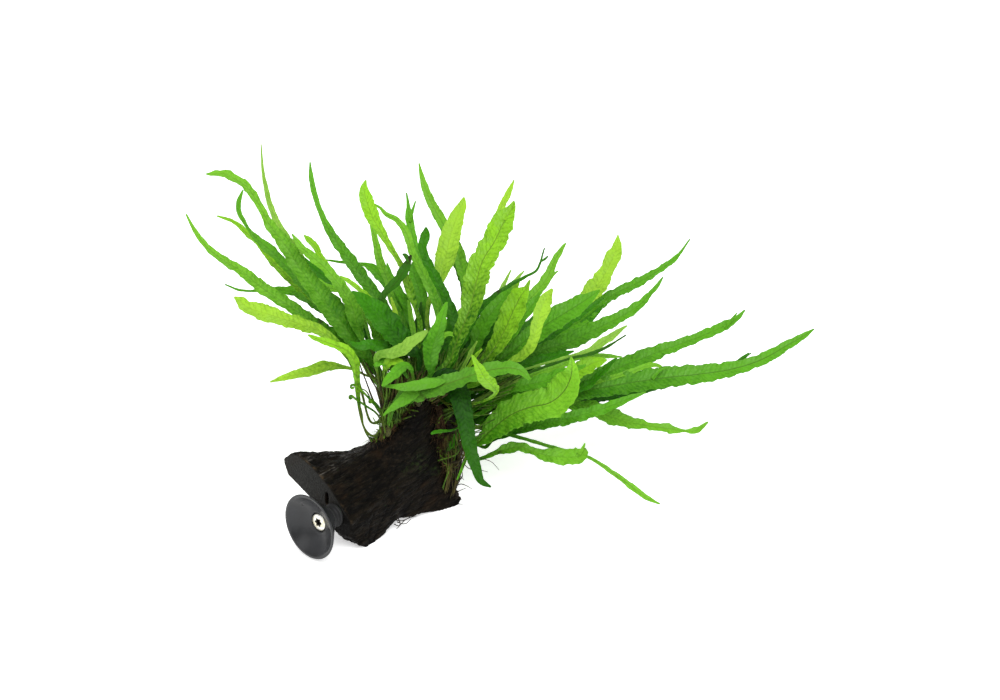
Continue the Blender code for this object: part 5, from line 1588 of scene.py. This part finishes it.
def make_echoes(surface):
    """Fronds that fill the crown's back."""
    rng = np.random.default_rng(SEEDS["back_routes"])
    for stem, fronds in FRONDS.items():
        line = line_for_fronds(surface, stem)
        for number, frond in enumerate(fronds[::ECHO_STRIDE]):
            kept = max(ECHO_LEAST, round(len(frond.route) * rng.uniform(*ECHO_KEPT)))
            lean = ECHO_LEANS[stem] * rng.uniform(0.8, 1.2)
            route = [(x, y, width * ECHO_SHRINK) for x, y, width in frond.route[:kept]]
            base = stalk_foot(line, min(2 * number + 7, len(line) - 2), route[0])
            points = frond_points(base, frond._replace(lean=lean, route=route))
            points = [point for point in points if point[2] > LOWEST_TIP]
            if len(points) < ECHO_LEAST:
                continue
            points[-1] = (*points[-1][:3], 1)
            seed = SEEDS["back"] + 10 * len(stem) + number
            grow_frond(f"back_{stem}_{number + 1}", points, LOOKS[frond.name], seed)


# The studio: sizes and places in metres
FLOOR_SIZE = 6.0
FLOOR_DROP = 0.05 * MM
FLOOR_GLOW = 0.5
WORLD_STRENGTH = 0.6
LAMP_AIM = Vector((0.03, -0.03, 0.07))
SENSOR_WIDTH = 36


def make_stage():
    """Plain pale floor, and soft light from above, from the left and from behind."""
    half = FLOOR_SIZE / 2
    corners = [(-half, -half, 0), (half, -half, 0), (half, half, 0), (-half, half, 0)]
    mesh = bpy.data.meshes.new("floor")
    mesh.from_pydata(corners, [], [(0, 1, 2, 3)])
    floor = add_object("floor", mesh)
    floor.location = (0, 0, -FLOOR_DROP)
    n = Nodes("plain_floor")
    mesh.materials.append(n.shade({"Base Color": (0.93, 0.93, 0.93), "Roughness": 0.85,
                                   "Specular IOR Level": 0.1, "Emission Color": (1, 1, 1),
                                   "Emission Strength": FLOOR_GLOW}))
    world = bpy.data.worlds.new("studio")
    world.use_nodes = True
    world.node_tree.nodes["Background"].inputs["Color"].default_value = (1, 1, 1, 1)
    world.node_tree.nodes["Background"].inputs["Strength"].default_value = WORLD_STRENGTH
    bpy.context.scene.world = world
    add_sun((-0.35, -0.6, 1.0), 2.3, 50)
    add_lamp("fill", (-0.95, 0.1, 0.6), 0.6, 1.5)
    add_lamp("back", (0.7, 0.75, 0.75), 0.6, 3)


def turn_towards(thing, direction, axis="-Z"):
    """Turns an object so that one of its axes lies in the direction."""
    thing.rotation_mode = "QUATERNION"
    thing.rotation_quaternion = direction.to_track_quat(axis, "Y")


def add_sun(towards, strength, softness):
    """A broad soft light overhead, which reaches the whole floor evenly."""
    lamp = bpy.data.lights.new("overhead", "SUN")
    lamp.energy = strength
    lamp.angle = math.radians(softness)
    turn_towards(add_object("overhead", lamp), Vector(towards), "Z")


def add_lamp(name, place, size, power):
    """A square lamp that shines on the plant."""
    lamp = bpy.data.lights.new(name, "AREA")
    lamp.size = size
    lamp.energy = power
    holder = add_object(name, lamp)
    holder.location = place
    turn_towards(holder, LAMP_AIM - Vector(place))


def make_camera():
    """The photograph's viewpoint."""
    camera = bpy.data.cameras.new("camera")
    camera.lens = VIEW_LENS
    camera.sensor_width = SENSOR_WIDTH
    holder = add_object("camera", camera)
    holder.location = VIEW_TARGET + VIEW_BACK * VIEW_DISTANCE
    turn_towards(holder, -VIEW_BACK)
    bpy.context.scene.camera = holder
    bpy.context.scene.view_settings.view_transform = "Standard"


def main():
    make_camera()
    make_stage()
    surface = main_surface(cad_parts["driftwood"])
    make_wood()
    rubber = rubber_material()
    make_cup(rubber)
    make_cup_mark(rubber)
    make_screw()
    stem = stem_material()
    for name in RHIZOMES:
        make_rhizome(surface, name, stem)
    brown = strand_material("brown_roots", (0.009, 0.0045, 0.002), (0.075, 0.04, 0.014))
    for name in ROOT_MATS:
        make_root_mat(surface, name, brown)
    make_loose_roots(strand_material("dark_roots", (0.006, 0.004, 0.002), (0.03, 0.018, 0.009)))
    make_root_clump(strand_material("clump_roots", (0.003, 0.002, 0.001), (0.022, 0.012, 0.005)))
    stalks = {
        False: strand_material("green_stalks", (0.025, 0.06, 0.005), (0.1, 0.2, 0.015)),
        True: strand_material("old_stalks", (0.014, 0.011, 0.003), (0.075, 0.064, 0.012)),
    }
    for sheaf in SHEAVES:
        make_sheaf(surface, sheaf, stalks)
    make_thin_stalks(stalks)
    make_moss(surface, strand_material("moss", (0.01, 0.025, 0.003), (0.085, 0.15, 0.01)))
    lines = make_fronds(surface)
    for number, (parent, route) in enumerate(SPURS):
        make_spur(number + 1, parent, route, lines)
    make_small_fronds(surface)
    make_echoes(surface)
    for young in YOUNG_CURLS:
        make_young_curl(surface, young, leaf_paint("fresh"))


main()
